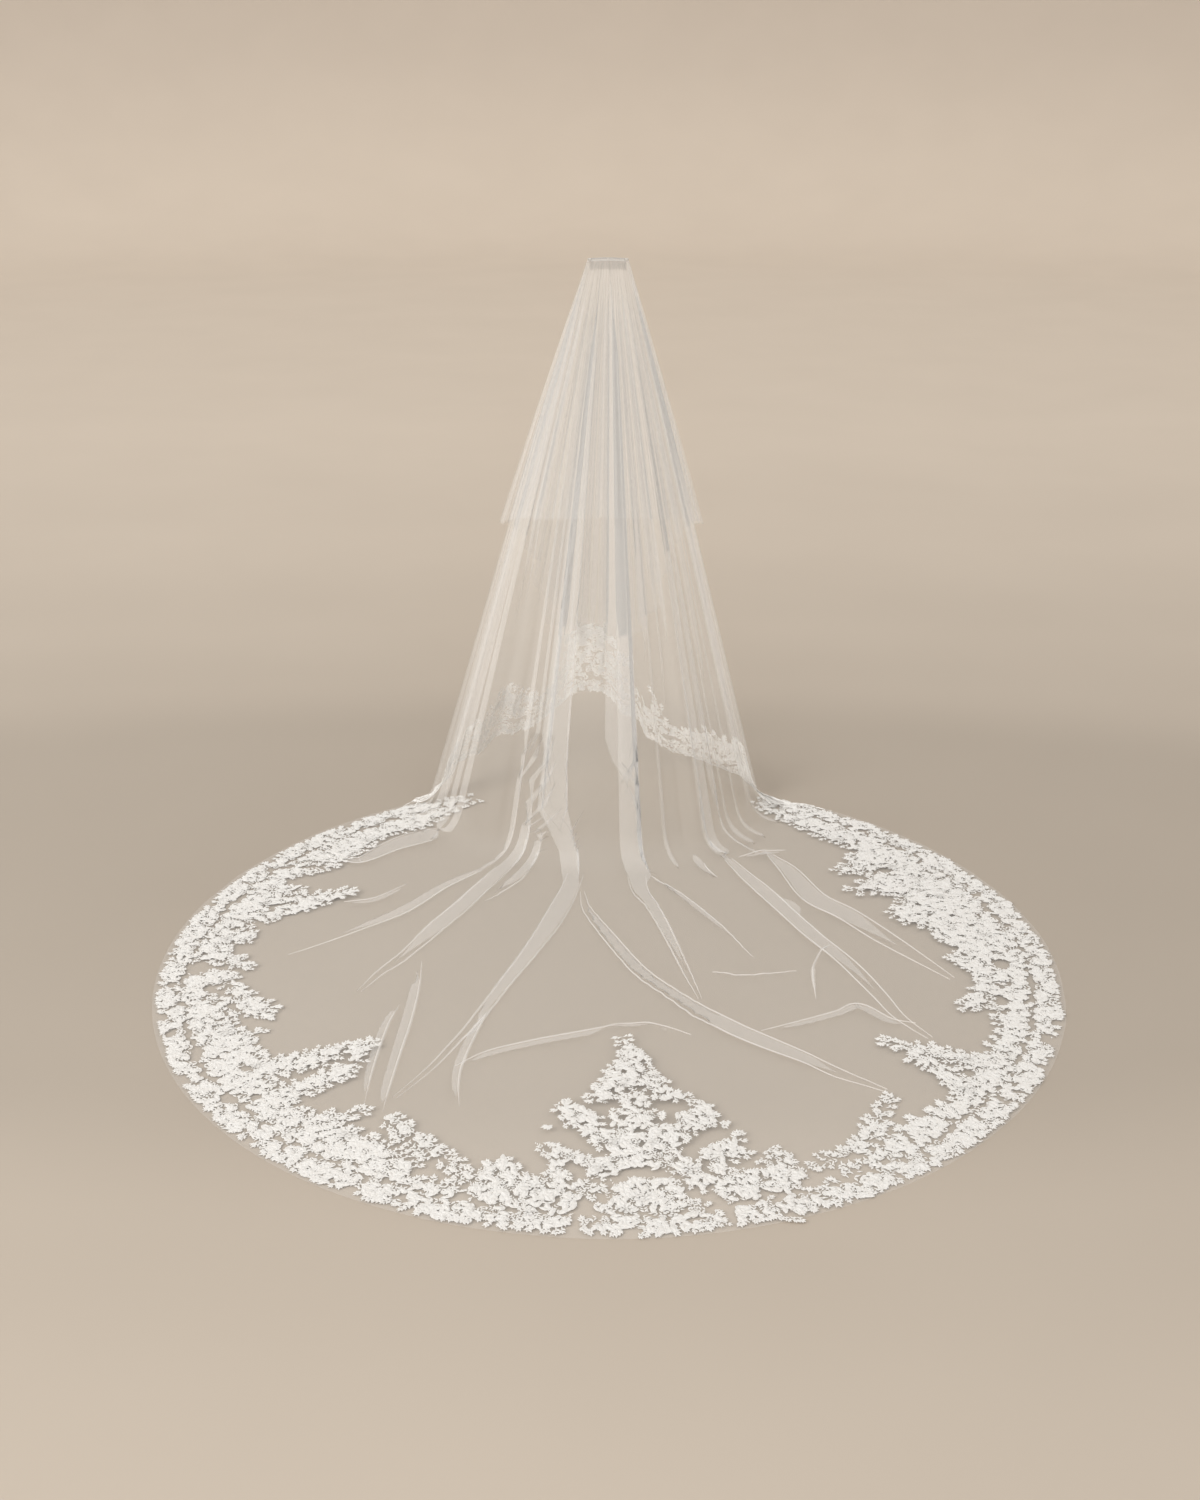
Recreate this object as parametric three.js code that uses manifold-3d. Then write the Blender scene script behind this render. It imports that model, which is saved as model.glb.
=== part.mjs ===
// A two-tier bridal veil on a wire comb, hung from the comb with its train laid out on the floor.
// Millimetres, +Z up. The origin is the middle of the comb's rail. The train lies towards -Y,
// the shorter front falls hang towards +Y, and the floor is FLOOR_DROP below the origin.
import * as THREE from "three";
import Module from "manifold-3d";

const wasm = await Module();
wasm.setup();

// The comb.
const RAIL_HALF = 55;
const RAIL_RADIUS = 1.1;
const RAIL_ARCH = 3;
const TOOTH_COUNT = 30;
const TOOTH_RADIUS = 0.5;
const TOOTH_LENGTH = 30;
const TOOTH_CURVE = 2.2;
const TOOTH_SPAN_HALF = 48;

// The gathered header of the tulle, stitched round the teeth under the rail.
const BAND_INNER_X = 53;
const BAND_INNER_Y = 2.6;
const BAND_OUTER_X = 58.6;
const BAND_OUTER_Y = 7.8;
const BAND_TOP = -1.5;
const BAND_BOTTOM = -6;
const BAND_COLUMNS = 48;

// The two sheets of tulle, both gathered under the band.
const WALL = 1.2;
const FLOOR_DROP = 1620;
const SHEET_TOP = -6.75;
const COLUMNS = 84;
const PLEATS = 14;
const TRAIN_SIDE_SHARE = 0.35;
const LONG_TOP_X = 55.6;
const LONG_TOP_Y = 4.1;

// Where the hanging cone of the long sheet would meet the floor, as a ring.
const RING_X = 490;
const RING_SHIFT_X = -35;
const RING_TRAIN_Y = 400;
const RING_FRONT_Y = 360;
const CORNER = 95;

// The train: a round outline on the floor.
const TRAIN_RADIUS = 1130;
const TRAIN_CENTRE_Y = -935;
const TRAIN_ENDS = 92;
const TRAIN_EASE = 9;

// Pleats grow with the distance from the comb, and lie down on the floor as ridges.
const PLEAT_AT_COMB = 0.5;
const PLEAT_GROWTH = 0.0155;
const RIDGE_HEIGHT = 11;
const RIDGE_FADE = 500;
const HEM_MARGIN = 12;

// Height of the long sheet's front hem above the floor, by direction round the comb.
const FRONT_HEM = [
  { degrees: -180, height: 250 },
  { degrees: -171, height: 255 },
  { degrees: -160, height: 180 },
  { degrees: -150, height: 140 },
  { degrees: -136, height: 150 },
  { degrees: -115, height: 125 },
  { degrees: -104, height: 60 },
  { degrees: -97, height: 0 },
  { degrees: 97, height: 0 },
  { degrees: 115, height: 15 },
  { degrees: 130, height: 45 },
  { degrees: 146, height: 85 },
  { degrees: 158, height: 120 },
  { degrees: 170, height: 190 },
  { degrees: 180, height: 250 },
];

// How far the lace reaches in from the hem, by direction round the comb.
const LACE_REACH = [
  { degrees: -180, reach: 230 },
  { degrees: -165, reach: 130 },
  { degrees: -155, reach: 110 },
  { degrees: -142, reach: 180 },
  { degrees: -125, reach: 130 },
  { degrees: -104, reach: 150 },
  { degrees: -92, reach: 190 },
  { degrees: -80, reach: 260 },
  { degrees: -66, reach: 270 },
  { degrees: -52, reach: 430 },
  { degrees: -44, reach: 290 },
  { degrees: -33, reach: 270 },
  { degrees: -23, reach: 490 },
  { degrees: -15, reach: 250 },
  { degrees: -7, reach: 230 },
  { degrees: 0, reach: 700 },
  { degrees: 7, reach: 230 },
  { degrees: 15, reach: 250 },
  { degrees: 23, reach: 490 },
  { degrees: 33, reach: 270 },
  { degrees: 44, reach: 290 },
  { degrees: 52, reach: 430 },
  { degrees: 66, reach: 270 },
  { degrees: 80, reach: 260 },
  { degrees: 92, reach: 190 },
  { degrees: 104, reach: 150 },
  { degrees: 125, reach: 130 },
  { degrees: 142, reach: 150 },
  { degrees: 155, reach: 120 },
  { degrees: 165, reach: 130 },
  { degrees: 180, reach: 230 },
];

// Vertical drop of the short sheet's hem below the comb, by direction round the comb.
const SHORT_HEM = [
  { degrees: 0, drop: 658 },
  { degrees: 60, drop: 680 },
  { degrees: 90, drop: 722 },
  { degrees: 115, drop: 745 },
  { degrees: 130, drop: 800 },
  { degrees: 142, drop: 890 },
  { degrees: 150, drop: 1000 },
  { degrees: 158, drop: 1110 },
  { degrees: 166, drop: 1165 },
  { degrees: 180, drop: 1180 },
];
const SHORT_CLEAR_TOP = 2;
const SHORT_CLEAR_GROWTH = 0.034;

// Rows from the comb to the hem.
const WALL_ROWS = 5;
const CORNER_ROWS = 4;
const FLOOR_ROWS = 3;
const LACE_ROWS = 3;
const SHORT_ROWS = 6;
const LACE_GAP = 0.5;

const TULLE = new THREE.MeshStandardMaterial({
  color: 0xe9e4dc,
  roughness: 0.9,
  metalness: 0,
  transparent: true,
  opacity: 0.35,
});
const LACE = new THREE.MeshStandardMaterial({ color: 0xf1ede6, roughness: 0.8, metalness: 0 });
const STITCHING = new THREE.MeshStandardMaterial({ color: 0xeae6df, roughness: 0.85, metalness: 0 });
const WIRE = new THREE.MeshStandardMaterial({ color: 0xb4b6b8, roughness: 0.3, metalness: 1 });

// Reads a table at an angle, easing between its rows.
function fromTable(table, degrees, column) {
  let k = 0;
  while (k < table.length - 2 && degrees > table[k + 1].degrees) k += 1;
  const here = table[k];
  const next = table[k + 1];
  const share = (degrees - here.degrees) / (next.degrees - here.degrees);
  const t = Math.min(1, Math.max(0, share));
  return here[column] + (next[column] - here[column]) * t;
}

// The direction of a column: 0 points along the train, and the train side has the finer columns.
function angleOf(column) {
  const turn = (2 * Math.PI * column) / COLUMNS;
  const angle = turn - TRAIN_SIDE_SHARE * Math.sin(turn);
  return angle > Math.PI ? angle - 2 * Math.PI : angle;
}

function archAt(x) {
  return -RAIL_ARCH * (x / RAIL_HALF) ** 2;
}

// How far the train's round hem lies from a foot of the cone, straight out along the floor.
function trainReach(foot, sin, cos) {
  const alongRay = foot.x * sin + (foot.y - TRAIN_CENTRE_Y) * -cos;
  const fromCentre = foot.x ** 2 + (foot.y - TRAIN_CENTRE_Y) ** 2 - TRAIN_RADIUS ** 2;
  return -alongRay + Math.sqrt(Math.max(0, alongRay ** 2 - fromCentre));
}

// The straight lines of one column of the long sheet: down the cone, then out along the floor.
function pathOf(column) {
  const angle = angleOf(column);
  const degrees = (angle * 180) / Math.PI;
  const sin = Math.sin(angle);
  const cos = Math.cos(angle);
  const topX = LONG_TOP_X * sin;
  const top = new THREE.Vector3(topX, -LONG_TOP_Y * cos, SHEET_TOP + archAt(topX));
  const depth = cos > 0 ? RING_TRAIN_Y : RING_FRONT_Y;
  const floorZ = -FLOOR_DROP + WALL / 2;
  const foot = new THREE.Vector3(RING_X * sin + RING_SHIFT_X, -depth * cos, floorZ);
  const wall = foot.distanceTo(top);
  const outDirection = new THREE.Vector3(sin, -cos, 0);
  const height = fromTable(FRONT_HEM, degrees, "height");
  const lifted = (Math.abs(degrees) - TRAIN_ENDS) / TRAIN_EASE;
  const lying = Math.min(1, Math.max(0, 1 - lifted));
  const reach = Math.max(0, trainReach(foot, sin, cos)) * lying;
  const length = wall + reach - (height * wall) / (top.z - floorZ);
  const lace = fromTable(LACE_REACH, degrees, "reach");
  return { angle, degrees, top, foot, wall, outDirection, length, lace };
}

const PATHS = [];
for (let column = 0; column < COLUMNS; column += 1) PATHS.push(pathOf(column));

// A point of the smooth sheet, a given length of cloth away from the comb.
function onPath(path, along) {
  const down = new THREE.Vector3().subVectors(path.foot, path.top).normalize();
  const enter = path.wall - CORNER;
  const leave = path.wall + CORNER;
  if (along <= enter) return path.top.clone().addScaledVector(down, along);
  if (along >= leave) {
    return path.foot.clone().addScaledVector(path.outDirection, along - path.wall);
  }
  const t = (along - enter) / (leave - enter);
  const before = path.foot.clone().addScaledVector(down, -CORNER);
  const after = path.foot.clone().addScaledVector(path.outDirection, CORNER);
  return before
    .multiplyScalar((1 - t) ** 2)
    .addScaledVector(path.foot, 2 * t * (1 - t))
    .addScaledVector(after, t ** 2);
}

// How far the sheet has turned from hanging, 0, to lying, 1.
function lyingShare(path, along) {
  const t = (along - (path.wall - CORNER)) / (2 * CORNER);
  const s = Math.min(1, Math.max(0, t));
  return s * s * (3 - 2 * s);
}

// The row lines of a column: down the wall, round the corner, to the lace, to the hem.
function rowsOf(path) {
  const laceStart = path.length - path.lace;
  const enter = Math.min(path.wall - CORNER, 0.8 * laceStart);
  const leave = Math.min(path.wall + CORNER, 0.93 * laceStart);
  const rows = [];
  for (let k = 0; k < WALL_ROWS; k += 1) rows.push((enter * k) / WALL_ROWS);
  for (let k = 0; k < CORNER_ROWS; k += 1) {
    rows.push(enter + ((leave - enter) * k) / CORNER_ROWS);
  }
  for (let k = 0; k < FLOOR_ROWS; k += 1) {
    rows.push(leave + ((laceStart - leave) * k) / FLOOR_ROWS);
  }
  for (let k = 0; k < LACE_ROWS; k += 1) {
    rows.push(laceStart + ((path.lace - HEM_MARGIN) * k) / LACE_ROWS);
  }
  rows.push(path.length - HEM_MARGIN);
  rows.push(path.length);
  return rows;
}

// The level direction square to the cone's oval section at a distance from the comb.
function outwardAt(path, along) {
  const share = Math.min(1, along / path.wall);
  const depth = Math.cos(path.angle) > 0 ? RING_TRAIN_Y : RING_FRONT_Y;
  const halfX = LONG_TOP_X + (RING_X - LONG_TOP_X) * share;
  const halfY = LONG_TOP_Y + (depth - LONG_TOP_Y) * share;
  const x = Math.sin(path.angle) / halfX;
  const y = -Math.cos(path.angle) / halfY;
  return new THREE.Vector3(x, y, 0).normalize();
}

// A point of the pleated sheet, a given clearance outside the long sheet's middle.
function pleatedPoint(path, column, along, clear) {
  const fold = Math.cos((2 * Math.PI * PLEATS * column) / COLUMNS);
  const size = PLEAT_AT_COMB + PLEAT_GROWTH * along;
  const lying = lyingShare(path, along);
  const point = onPath(path, along);
  return point.addScaledVector(outwardAt(path, along), clear + size * fold * (1 - lying) ** 2);
}

// The middle of the long sheet: grid[column][row].
function longGrid() {
  return PATHS.map((path, column) => {
    const fold = Math.cos((2 * Math.PI * PLEATS * column) / COLUMNS);
    const laceStart = path.length - path.lace;
    return rowsOf(path).map((along) => {
      const point = pleatedPoint(path, column, along, 0);
      const fade = Math.min(1, Math.max(0, (laceStart - along) / RIDGE_FADE));
      point.z += lyingShare(path, along) * RIDGE_HEIGHT * (1 + fold) * fade;
      point.z = Math.max(point.z, -FLOOR_DROP + WALL / 2);
      return point;
    });
  });
}

// The directions square to a grid of points, out of the cone or up from the floor.
function normalsOf(grid) {
  const columns = grid.length;
  const rows = grid[0].length;
  return grid.map((line, i) =>
    line.map((point, j) => {
      if (point.z < -FLOOR_DROP + WALL / 2 + 0.001) return new THREE.Vector3(0, 0, 1);
      const next = grid[(i + 1) % columns][j];
      const before = grid[(i + columns - 1) % columns][j];
      const lower = line[Math.min(rows - 1, j + 1)];
      const upper = line[Math.max(0, j - 1)];
      const across = new THREE.Vector3().subVectors(next, before);
      const down = new THREE.Vector3().subVectors(lower, upper);
      return down.cross(across).normalize();
    }),
  );
}

// A closed wall between two grids that run all the way round.
function shellGeometry(outer, inner) {
  const columns = outer.length;
  const rows = outer[0].length;
  const positions = [];
  for (const grid of [outer, inner]) {
    for (const line of grid) {
      for (const point of line) positions.push(point.x, point.y, point.z);
    }
  }
  const index = [];
  const at = (side, i, j) => side * columns * rows + (i % columns) * rows + j;
  const quad = (a, b, c, d) => index.push(a, b, c, a, c, d);
  for (let i = 0; i < columns; i += 1) {
    for (let j = 0; j < rows - 1; j += 1) {
      quad(at(0, i, j), at(0, i, j + 1), at(0, i + 1, j + 1), at(0, i + 1, j));
      quad(at(1, i, j), at(1, i + 1, j), at(1, i + 1, j + 1), at(1, i, j + 1));
    }
    quad(at(0, i, 0), at(0, i + 1, 0), at(1, i + 1, 0), at(1, i, 0));
    const last = rows - 1;
    quad(at(0, i, last), at(1, i, last), at(1, i + 1, last), at(0, i + 1, last));
  }
  const geometry = new THREE.BufferGeometry();
  geometry.setAttribute("position", new THREE.Float32BufferAttribute(positions, 3));
  geometry.setIndex(index);
  geometry.computeVertexNormals();
  return geometry;
}

function offsetGrid(grid, normals, distance) {
  return grid.map((line, i) =>
    line.map((point, j) => point.clone().addScaledVector(normals[i][j], distance)),
  );
}

const LONG = longGrid();
const LONG_NORMALS = normalsOf(LONG);

function longTier() {
  const outer = offsetGrid(LONG, LONG_NORMALS, WALL / 2);
  const inner = offsetGrid(LONG, LONG_NORMALS, -WALL / 2);
  return shellGeometry(outer, inner);
}

// The lace lies on the outer face of the long sheet, along its whole hem.
function laceBorder() {
  const first = WALL_ROWS + CORNER_ROWS + FLOOR_ROWS;
  const cut = (grid) => grid.map((line) => line.slice(first, first + LACE_ROWS + 1));
  const low = offsetGrid(cut(LONG), cut(LONG_NORMALS), WALL / 2 + LACE_GAP);
  const high = offsetGrid(cut(LONG), cut(LONG_NORMALS), WALL / 2 + LACE_GAP + WALL);
  return shellGeometry(high, low);
}

// The short sheet hangs over the long one with the same pleats, a little further out.
function shortTier() {
  const grid = PATHS.map((path, column) => {
    const drop = fromTable(SHORT_HEM, Math.abs(path.degrees), "drop");
    const slope = path.wall / (path.top.z - path.foot.z);
    const length = Math.min(drop * slope, path.wall - CORNER);
    const line = [];
    for (let k = 0; k <= SHORT_ROWS; k += 1) {
      const along = (length * k) / SHORT_ROWS;
      const clear = SHORT_CLEAR_TOP + SHORT_CLEAR_GROWTH * along;
      line.push(pleatedPoint(path, column, along, clear));
    }
    return line;
  });
  const normals = normalsOf(grid);
  return shellGeometry(offsetGrid(grid, normals, WALL / 2), offsetGrid(grid, normals, -WALL / 2));
}

// The stitched header: an oval ring round the teeth that follows the rail's arch.
function gatherBand() {
  const ring = (halfX, halfY, z) => {
    const line = [];
    for (let k = 0; k < BAND_COLUMNS; k += 1) {
      const turn = (2 * Math.PI * k) / BAND_COLUMNS;
      const x = halfX * Math.sin(turn);
      line.push(new THREE.Vector3(x, -halfY * Math.cos(turn), z + archAt(x)));
    }
    return line;
  };
  const columns = (halfX, halfY) => {
    const top = ring(halfX, halfY, BAND_TOP);
    const bottom = ring(halfX, halfY, BAND_BOTTOM);
    return top.map((point, k) => [point, bottom[k]]);
  };
  return shellGeometry(
    columns(BAND_OUTER_X, BAND_OUTER_Y),
    columns(BAND_INNER_X, BAND_INNER_Y),
  );
}

// A round wire along a line of points, closed at both ends, as a boolean solid.
function wire(points, radii, sides) {
  const positions = [];
  const triangles = [];
  points.forEach((point, k) => {
    const before = points[Math.max(0, k - 1)];
    const after = points[Math.min(points.length - 1, k + 1)];
    const along = new THREE.Vector3().subVectors(after, before).normalize();
    const side = new THREE.Vector3(0, 1, 0).cross(along).normalize();
    const other = new THREE.Vector3().crossVectors(along, side);
    for (let n = 0; n < sides; n += 1) {
      const turn = (2 * Math.PI * n) / sides;
      const spot = point
        .clone()
        .addScaledVector(side, radii[k] * Math.cos(turn))
        .addScaledVector(other, radii[k] * Math.sin(turn));
      positions.push(spot.x, spot.y, spot.z);
    }
  });
  const last = (points.length - 1) * sides;
  for (let k = 0; k < points.length - 1; k += 1) {
    for (let n = 0; n < sides; n += 1) {
      const a = k * sides + n;
      const b = k * sides + ((n + 1) % sides);
      triangles.push(a, b, b + sides, a, b + sides, a + sides);
    }
  }
  for (let n = 1; n < sides - 1; n += 1) {
    triangles.push(0, n + 1, n);
    triangles.push(last, last + n, last + n + 1);
  }
  const mesh = new wasm.Mesh({
    numProp: 3,
    vertProperties: new Float32Array(positions),
    triVerts: new Uint32Array(triangles),
  });
  return new wasm.Manifold(mesh);
}

function comb() {
  const steps = 24;
  const rail = [];
  const radii = [];
  for (let k = 0; k <= steps; k += 1) {
    const x = -RAIL_HALF + (2 * RAIL_HALF * k) / steps;
    rail.push(new THREE.Vector3(x, 0, archAt(x)));
    radii.push(k === 0 || k === steps ? RAIL_RADIUS * 0.7 : RAIL_RADIUS);
  }
  const pieces = [wire(rail, radii, 10)];
  for (let n = 0; n < TOOTH_COUNT; n += 1) {
    const x = -TOOTH_SPAN_HALF + (2 * TOOTH_SPAN_HALF * n) / (TOOTH_COUNT - 1);
    const tooth = [];
    const thick = [];
    for (let k = 0; k <= 4; k += 1) {
      const t = k / 4;
      const bow = TOOTH_CURVE * t * t;
      tooth.push(new THREE.Vector3(x, bow, archAt(x) - TOOTH_LENGTH * t));
      thick.push(k === 4 ? TOOTH_RADIUS * 0.6 : TOOTH_RADIUS);
    }
    pieces.push(wire(tooth, thick, 6));
  }
  const joined = wasm.Manifold.union(pieces);
  const mesh = joined.getMesh();
  const geometry = new THREE.BufferGeometry();
  geometry.setAttribute("position", new THREE.BufferAttribute(mesh.vertProperties, 3));
  geometry.setIndex(new THREE.BufferAttribute(mesh.triVerts, 1));
  geometry.computeVertexNormals();
  return geometry;
}

function named(name, geometry, material) {
  const mesh = new THREE.Mesh(geometry, material);
  mesh.name = name;
  return mesh;
}

const group = new THREE.Group();
group.name = "bridal_veil";
group.add(named("comb", comb(), WIRE));
group.add(named("gather_band", gatherBand(), STITCHING));
group.add(named("short_tier", shortTier(), TULLE));
group.add(named("long_tier", longTier(), TULLE));
group.add(named("lace_border", laceBorder(), LACE));

export default group;
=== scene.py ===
import math

import bpy
import numpy as np
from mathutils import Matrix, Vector
from mathutils.kdtree import KDTree


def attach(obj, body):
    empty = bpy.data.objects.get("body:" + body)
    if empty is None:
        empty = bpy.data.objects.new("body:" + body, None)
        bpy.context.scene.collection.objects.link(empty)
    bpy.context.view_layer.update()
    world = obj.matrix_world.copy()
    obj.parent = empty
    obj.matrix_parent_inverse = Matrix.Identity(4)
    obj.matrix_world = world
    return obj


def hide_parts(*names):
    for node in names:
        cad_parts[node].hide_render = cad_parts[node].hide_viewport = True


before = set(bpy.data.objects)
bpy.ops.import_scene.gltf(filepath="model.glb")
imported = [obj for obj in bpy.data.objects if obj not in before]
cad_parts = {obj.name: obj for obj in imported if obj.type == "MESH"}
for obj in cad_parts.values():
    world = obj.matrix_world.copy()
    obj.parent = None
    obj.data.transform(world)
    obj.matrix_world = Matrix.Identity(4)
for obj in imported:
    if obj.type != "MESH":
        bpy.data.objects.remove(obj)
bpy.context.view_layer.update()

# Sizes are in metres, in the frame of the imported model: the middle of the comb's rail is at the
# origin, the train runs out along -Y, and the front fall hangs on the +Y side. Directions are
# degrees round the veil, 0 along the train and growing to the right, towards +X.
FLOOR = -1.62
LIE = FLOOR + 0.0014  # the lowest height of the net
TOP_X, TOP_Y, TOP_Z = 0.0556, 0.0041, -0.0062  # half sizes and height of the sheets' top edge
RING_X, RING_SHIFT_X = 0.490, -0.035  # the oval on the floor where the hanging net comes down
RING_TRAIN_Y, RING_FRONT_Y = 0.400, 0.360
CORNER = 0.095  # length of cloth in each half of the bend from hanging to lying
TRAIN_RADIUS, TRAIN_CENTRE_Y = 1.130, -0.935
TRAIN_ENDS, TRAIN_EASE = 92.0, 9.0  # degrees where the train ends, and over which it fades
RAIL_HALF, ARCH = 0.055, 0.003  # half of the rail, and how far its ends are lower than its middle
FULL_TURN = 2 * math.pi
HEM = 900  # longer in centimetres than any line of cloth: a pleat that stops here runs to the hem

# Direction, and height of the long sheet's hem over the floor in millimetres.
FRONT_HEM = np.array([
    (-180, 268), (-175, 268), (-170, 262), (-165, 215), (-158, 178), (-151, 148), (-144, 132),
    (-139, 150), (-135, 125), (-130, 90), (-123, 98), (-115, 60), (-108, 25), (-99, 0), (99, 0),
    (116, 12), (130, 28), (143, 45), (150, 62), (156, 92), (160, 100), (163, 170), (167, 172),
    (170, 190), (174, 240), (178, 268), (180, 268),
]) / (1, 1000)
# Direction to either side, and how far the short sheet's hem hangs below the comb in millimetres.
SHORT_HEM = np.array([
    (0, 658), (60, 680), (90, 722), (115, 745), (130, 800), (142, 890), (150, 1000), (158, 1110),
    (166, 1165), (180, 1180),
]) / (1, 1000)


def smooth(low, high, x):
    t = np.clip((x - low) / (high - low), 0.0, 1.0)
    return t * t * (3 - 2 * t)


def arch_at(x):
    return -ARCH * (x / RAIL_HALF) ** 2


def around(angle, centre):
    """The turn from centre to each angle, between minus and plus half a turn."""
    return (angle - centre + math.pi) % FULL_TURN - math.pi


class Cone:
    """The lines of the smooth hanging sheet for an array of directions in radians."""

    def __init__(self, angle):
        angle = np.asarray(angle, float)
        self.sin = np.sin(angle)
        self.cos = np.cos(angle)
        degrees = np.degrees(around(angle, 0.0))
        level = np.zeros_like(self.sin)
        self.depth = np.where(self.cos > 0, RING_TRAIN_Y, RING_FRONT_Y)
        top_x = TOP_X * self.sin
        self.top = np.stack([top_x, -TOP_Y * self.cos, TOP_Z + arch_at(top_x)], -1)
        foot_x = RING_X * self.sin + RING_SHIFT_X
        self.foot = np.stack([foot_x, -self.depth * self.cos, level + LIE], -1)
        self.wall = np.linalg.norm(self.foot - self.top, axis=-1)
        self.out = np.stack([self.sin, -self.cos, level], -1)
        foot_y = self.foot[..., 1] - TRAIN_CENTRE_Y
        ray = foot_x * self.sin + foot_y * -self.cos
        off = foot_x**2 + foot_y**2 - TRAIN_RADIUS**2
        reach = np.maximum(0.0, -ray + np.sqrt(np.maximum(0.0, ray**2 - off)))
        lying = np.clip(1 - (np.abs(degrees) - TRAIN_ENDS) / TRAIN_EASE, 0, 1)
        height = np.interp(degrees, FRONT_HEM[:, 0], FRONT_HEM[:, 1])
        slope = self.wall / (self.top[..., 2] - LIE)
        self.length = self.wall + reach * lying - height * slope
        drop = np.interp(np.abs(degrees), SHORT_HEM[:, 0], SHORT_HEM[:, 1])
        self.short_length = np.minimum(drop * slope, self.wall - CORNER)

    def path(self, along):
        """Points of the smooth sheet at lengths of cloth from the comb."""
        down = (self.foot - self.top) / self.wall[..., None]
        enter = self.wall - CORNER
        t = np.clip((along - enter) / (2 * CORNER), 0.0, 1.0)[..., None]
        hung = self.top + down * np.minimum(along, enter)[..., None]
        laid = self.foot + self.out * np.maximum(along - self.wall, CORNER)[..., None]
        bend = (
            (self.foot - down * CORNER) * (1 - t) ** 2
            + self.foot * 2 * t * (1 - t)
            + (self.foot + self.out * CORNER) * t**2
        )
        return np.where(t <= 0, hung, np.where(t >= 1, laid, bend))

    def lying(self, along):
        """0 where the cloth hangs, 1 where it lies on the floor."""
        return smooth(-CORNER, CORNER, along - self.wall)

    def outward(self, along):
        share = np.minimum(1, along / self.wall)
        half_x = TOP_X + (RING_X - TOP_X) * share
        half_y = TOP_Y + (self.depth - TOP_Y) * share
        v = np.stack([self.sin / half_x, -self.cos / half_y, np.zeros_like(self.sin)], -1)
        return v / np.linalg.norm(v, axis=-1, keepdims=True)


# Pleats that double the net back on itself, so that three layers of it lie over each other. Each
# has its direction, half of the cloth that it takes in degrees, how far it doubles in percent, its
# depth in millimetres, and the centimetres of cloth from the comb where it starts and stops.
LONG_PLEATS = [
    # the wide strips in the middle of the train's fall
    (4.2, 8.8, 78, 7, 5, 155),
    (24.5, 2.6, 75, 6, 30, HEM),
    (-3.5, 2.2, 70, 6, 5, 110), (30.6, 2.2, 75, 6, 10, 130),
    # the dense bands at the sides of the train's fall
    (42.4, 4.4, 85, 9, 2, HEM), (48.5, 4.0, 80, 9, 2, 166),
    (54.5, 4.4, 85, 9, 2, HEM), (61.0, 4.4, 85, 10, 2, HEM),
    (67.5, 4.4, 85, 10, 2, 170), (74.5, 4.8, 85, 10, 2, HEM),
    (82.0, 5.0, 85, 10, 2, HEM), (89.0, 4.6, 80, 10, 2, HEM),
    (-58.0, 4.2, 85, 9, 2, HEM), (-64.5, 4.4, 85, 10, 2, HEM),
    (-71.0, 4.4, 85, 10, 2, 170), (-77.5, 4.6, 85, 10, 2, HEM),
    (-84.5, 5.0, 85, 10, 2, HEM), (-44.5, 3.2, 80, 8, 2, 85),
    (-51.0, 3.0, 80, 8, 2, 95),
    # the front fall, with its dense middle
    (97.0, 4.6, 80, 10, 2, HEM), (105.0, 4.6, 80, 10, 5, HEM),
    (114.0, 4.0, 70, 9, 5, 150), (124.0, 4.0, 60, 9, 10, 140),
    (136.0, 4.2, 60, 8, 10, 130), (146.0, 4.0, 70, 8, 5, 130),
    (157.5, 4.8, 85, 9, 2, 130), (164.0, 4.4, 80, 9, 2, 136),
    (170.5, 4.4, 80, 9, 2, 130), (177.0, 4.4, 80, 9, 2, 132),
    (183.5, 4.4, 80, 9, 2, 130), (190.0, 4.4, 80, 9, 2, 132),
    (196.5, 4.4, 80, 9, 2, 130), (203.0, 4.8, 85, 9, 2, 120),
    (214.0, 4.2, 70, 8, 5, 116), (226.0, 4.2, 60, 8, 10, 124),
    (238.0, 4.2, 65, 9, 5, 134), (248.0, 4.6, 75, 10, 5, 150),
    (257.0, 4.6, 80, 10, 2, HEM), (266.5, 4.8, 80, 10, 2, HEM),
]
# The same for the short sheet, where every one of these runs to the hem.
SHORT_PLEATS = [
    (-84, 5.0, 70, 7, 4), (-70, 4.0, 60, 7, 3), (-56, 4.4, 75, 8, 2), (-44, 4.4, 80, 8, 2),
    (-33, 3.4, 70, 6, 2), (-22, 3.0, 65, 6, 2), (-12, 3.0, 75, 6, 2), (-2, 3.6, 75, 6, 2),
    (9, 3.2, 70, 6, 2), (19, 3.0, 70, 6, 2), (31, 3.6, 75, 7, 2), (43, 4.6, 80, 8, 2),
    (55, 4.6, 80, 8, 2), (69, 4.0, 60, 7, 3), (84, 5.0, 70, 7, 5), (100, 4.6, 65, 7, 5),
    (115, 4.4, 65, 7, 5), (129, 4.4, 70, 8, 3), (141, 4.6, 80, 8, 2), (151, 4.6, 85, 8, 2),
    (160, 4.6, 85, 8, 2), (169, 4.6, 85, 8, 2), (178, 4.6, 85, 8, 2), (187, 4.6, 85, 8, 2),
    (196, 4.6, 85, 8, 2), (205, 4.6, 85, 8, 2), (215, 4.6, 80, 8, 2), (227, 4.4, 70, 8, 3),
    (240, 4.4, 65, 7, 5), (254, 4.6, 65, 7, 5), (268, 4.8, 70, 7, 5),
]
PLEAT_UNITS = (1, 1, 100, 1000, 100, 100)


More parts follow.
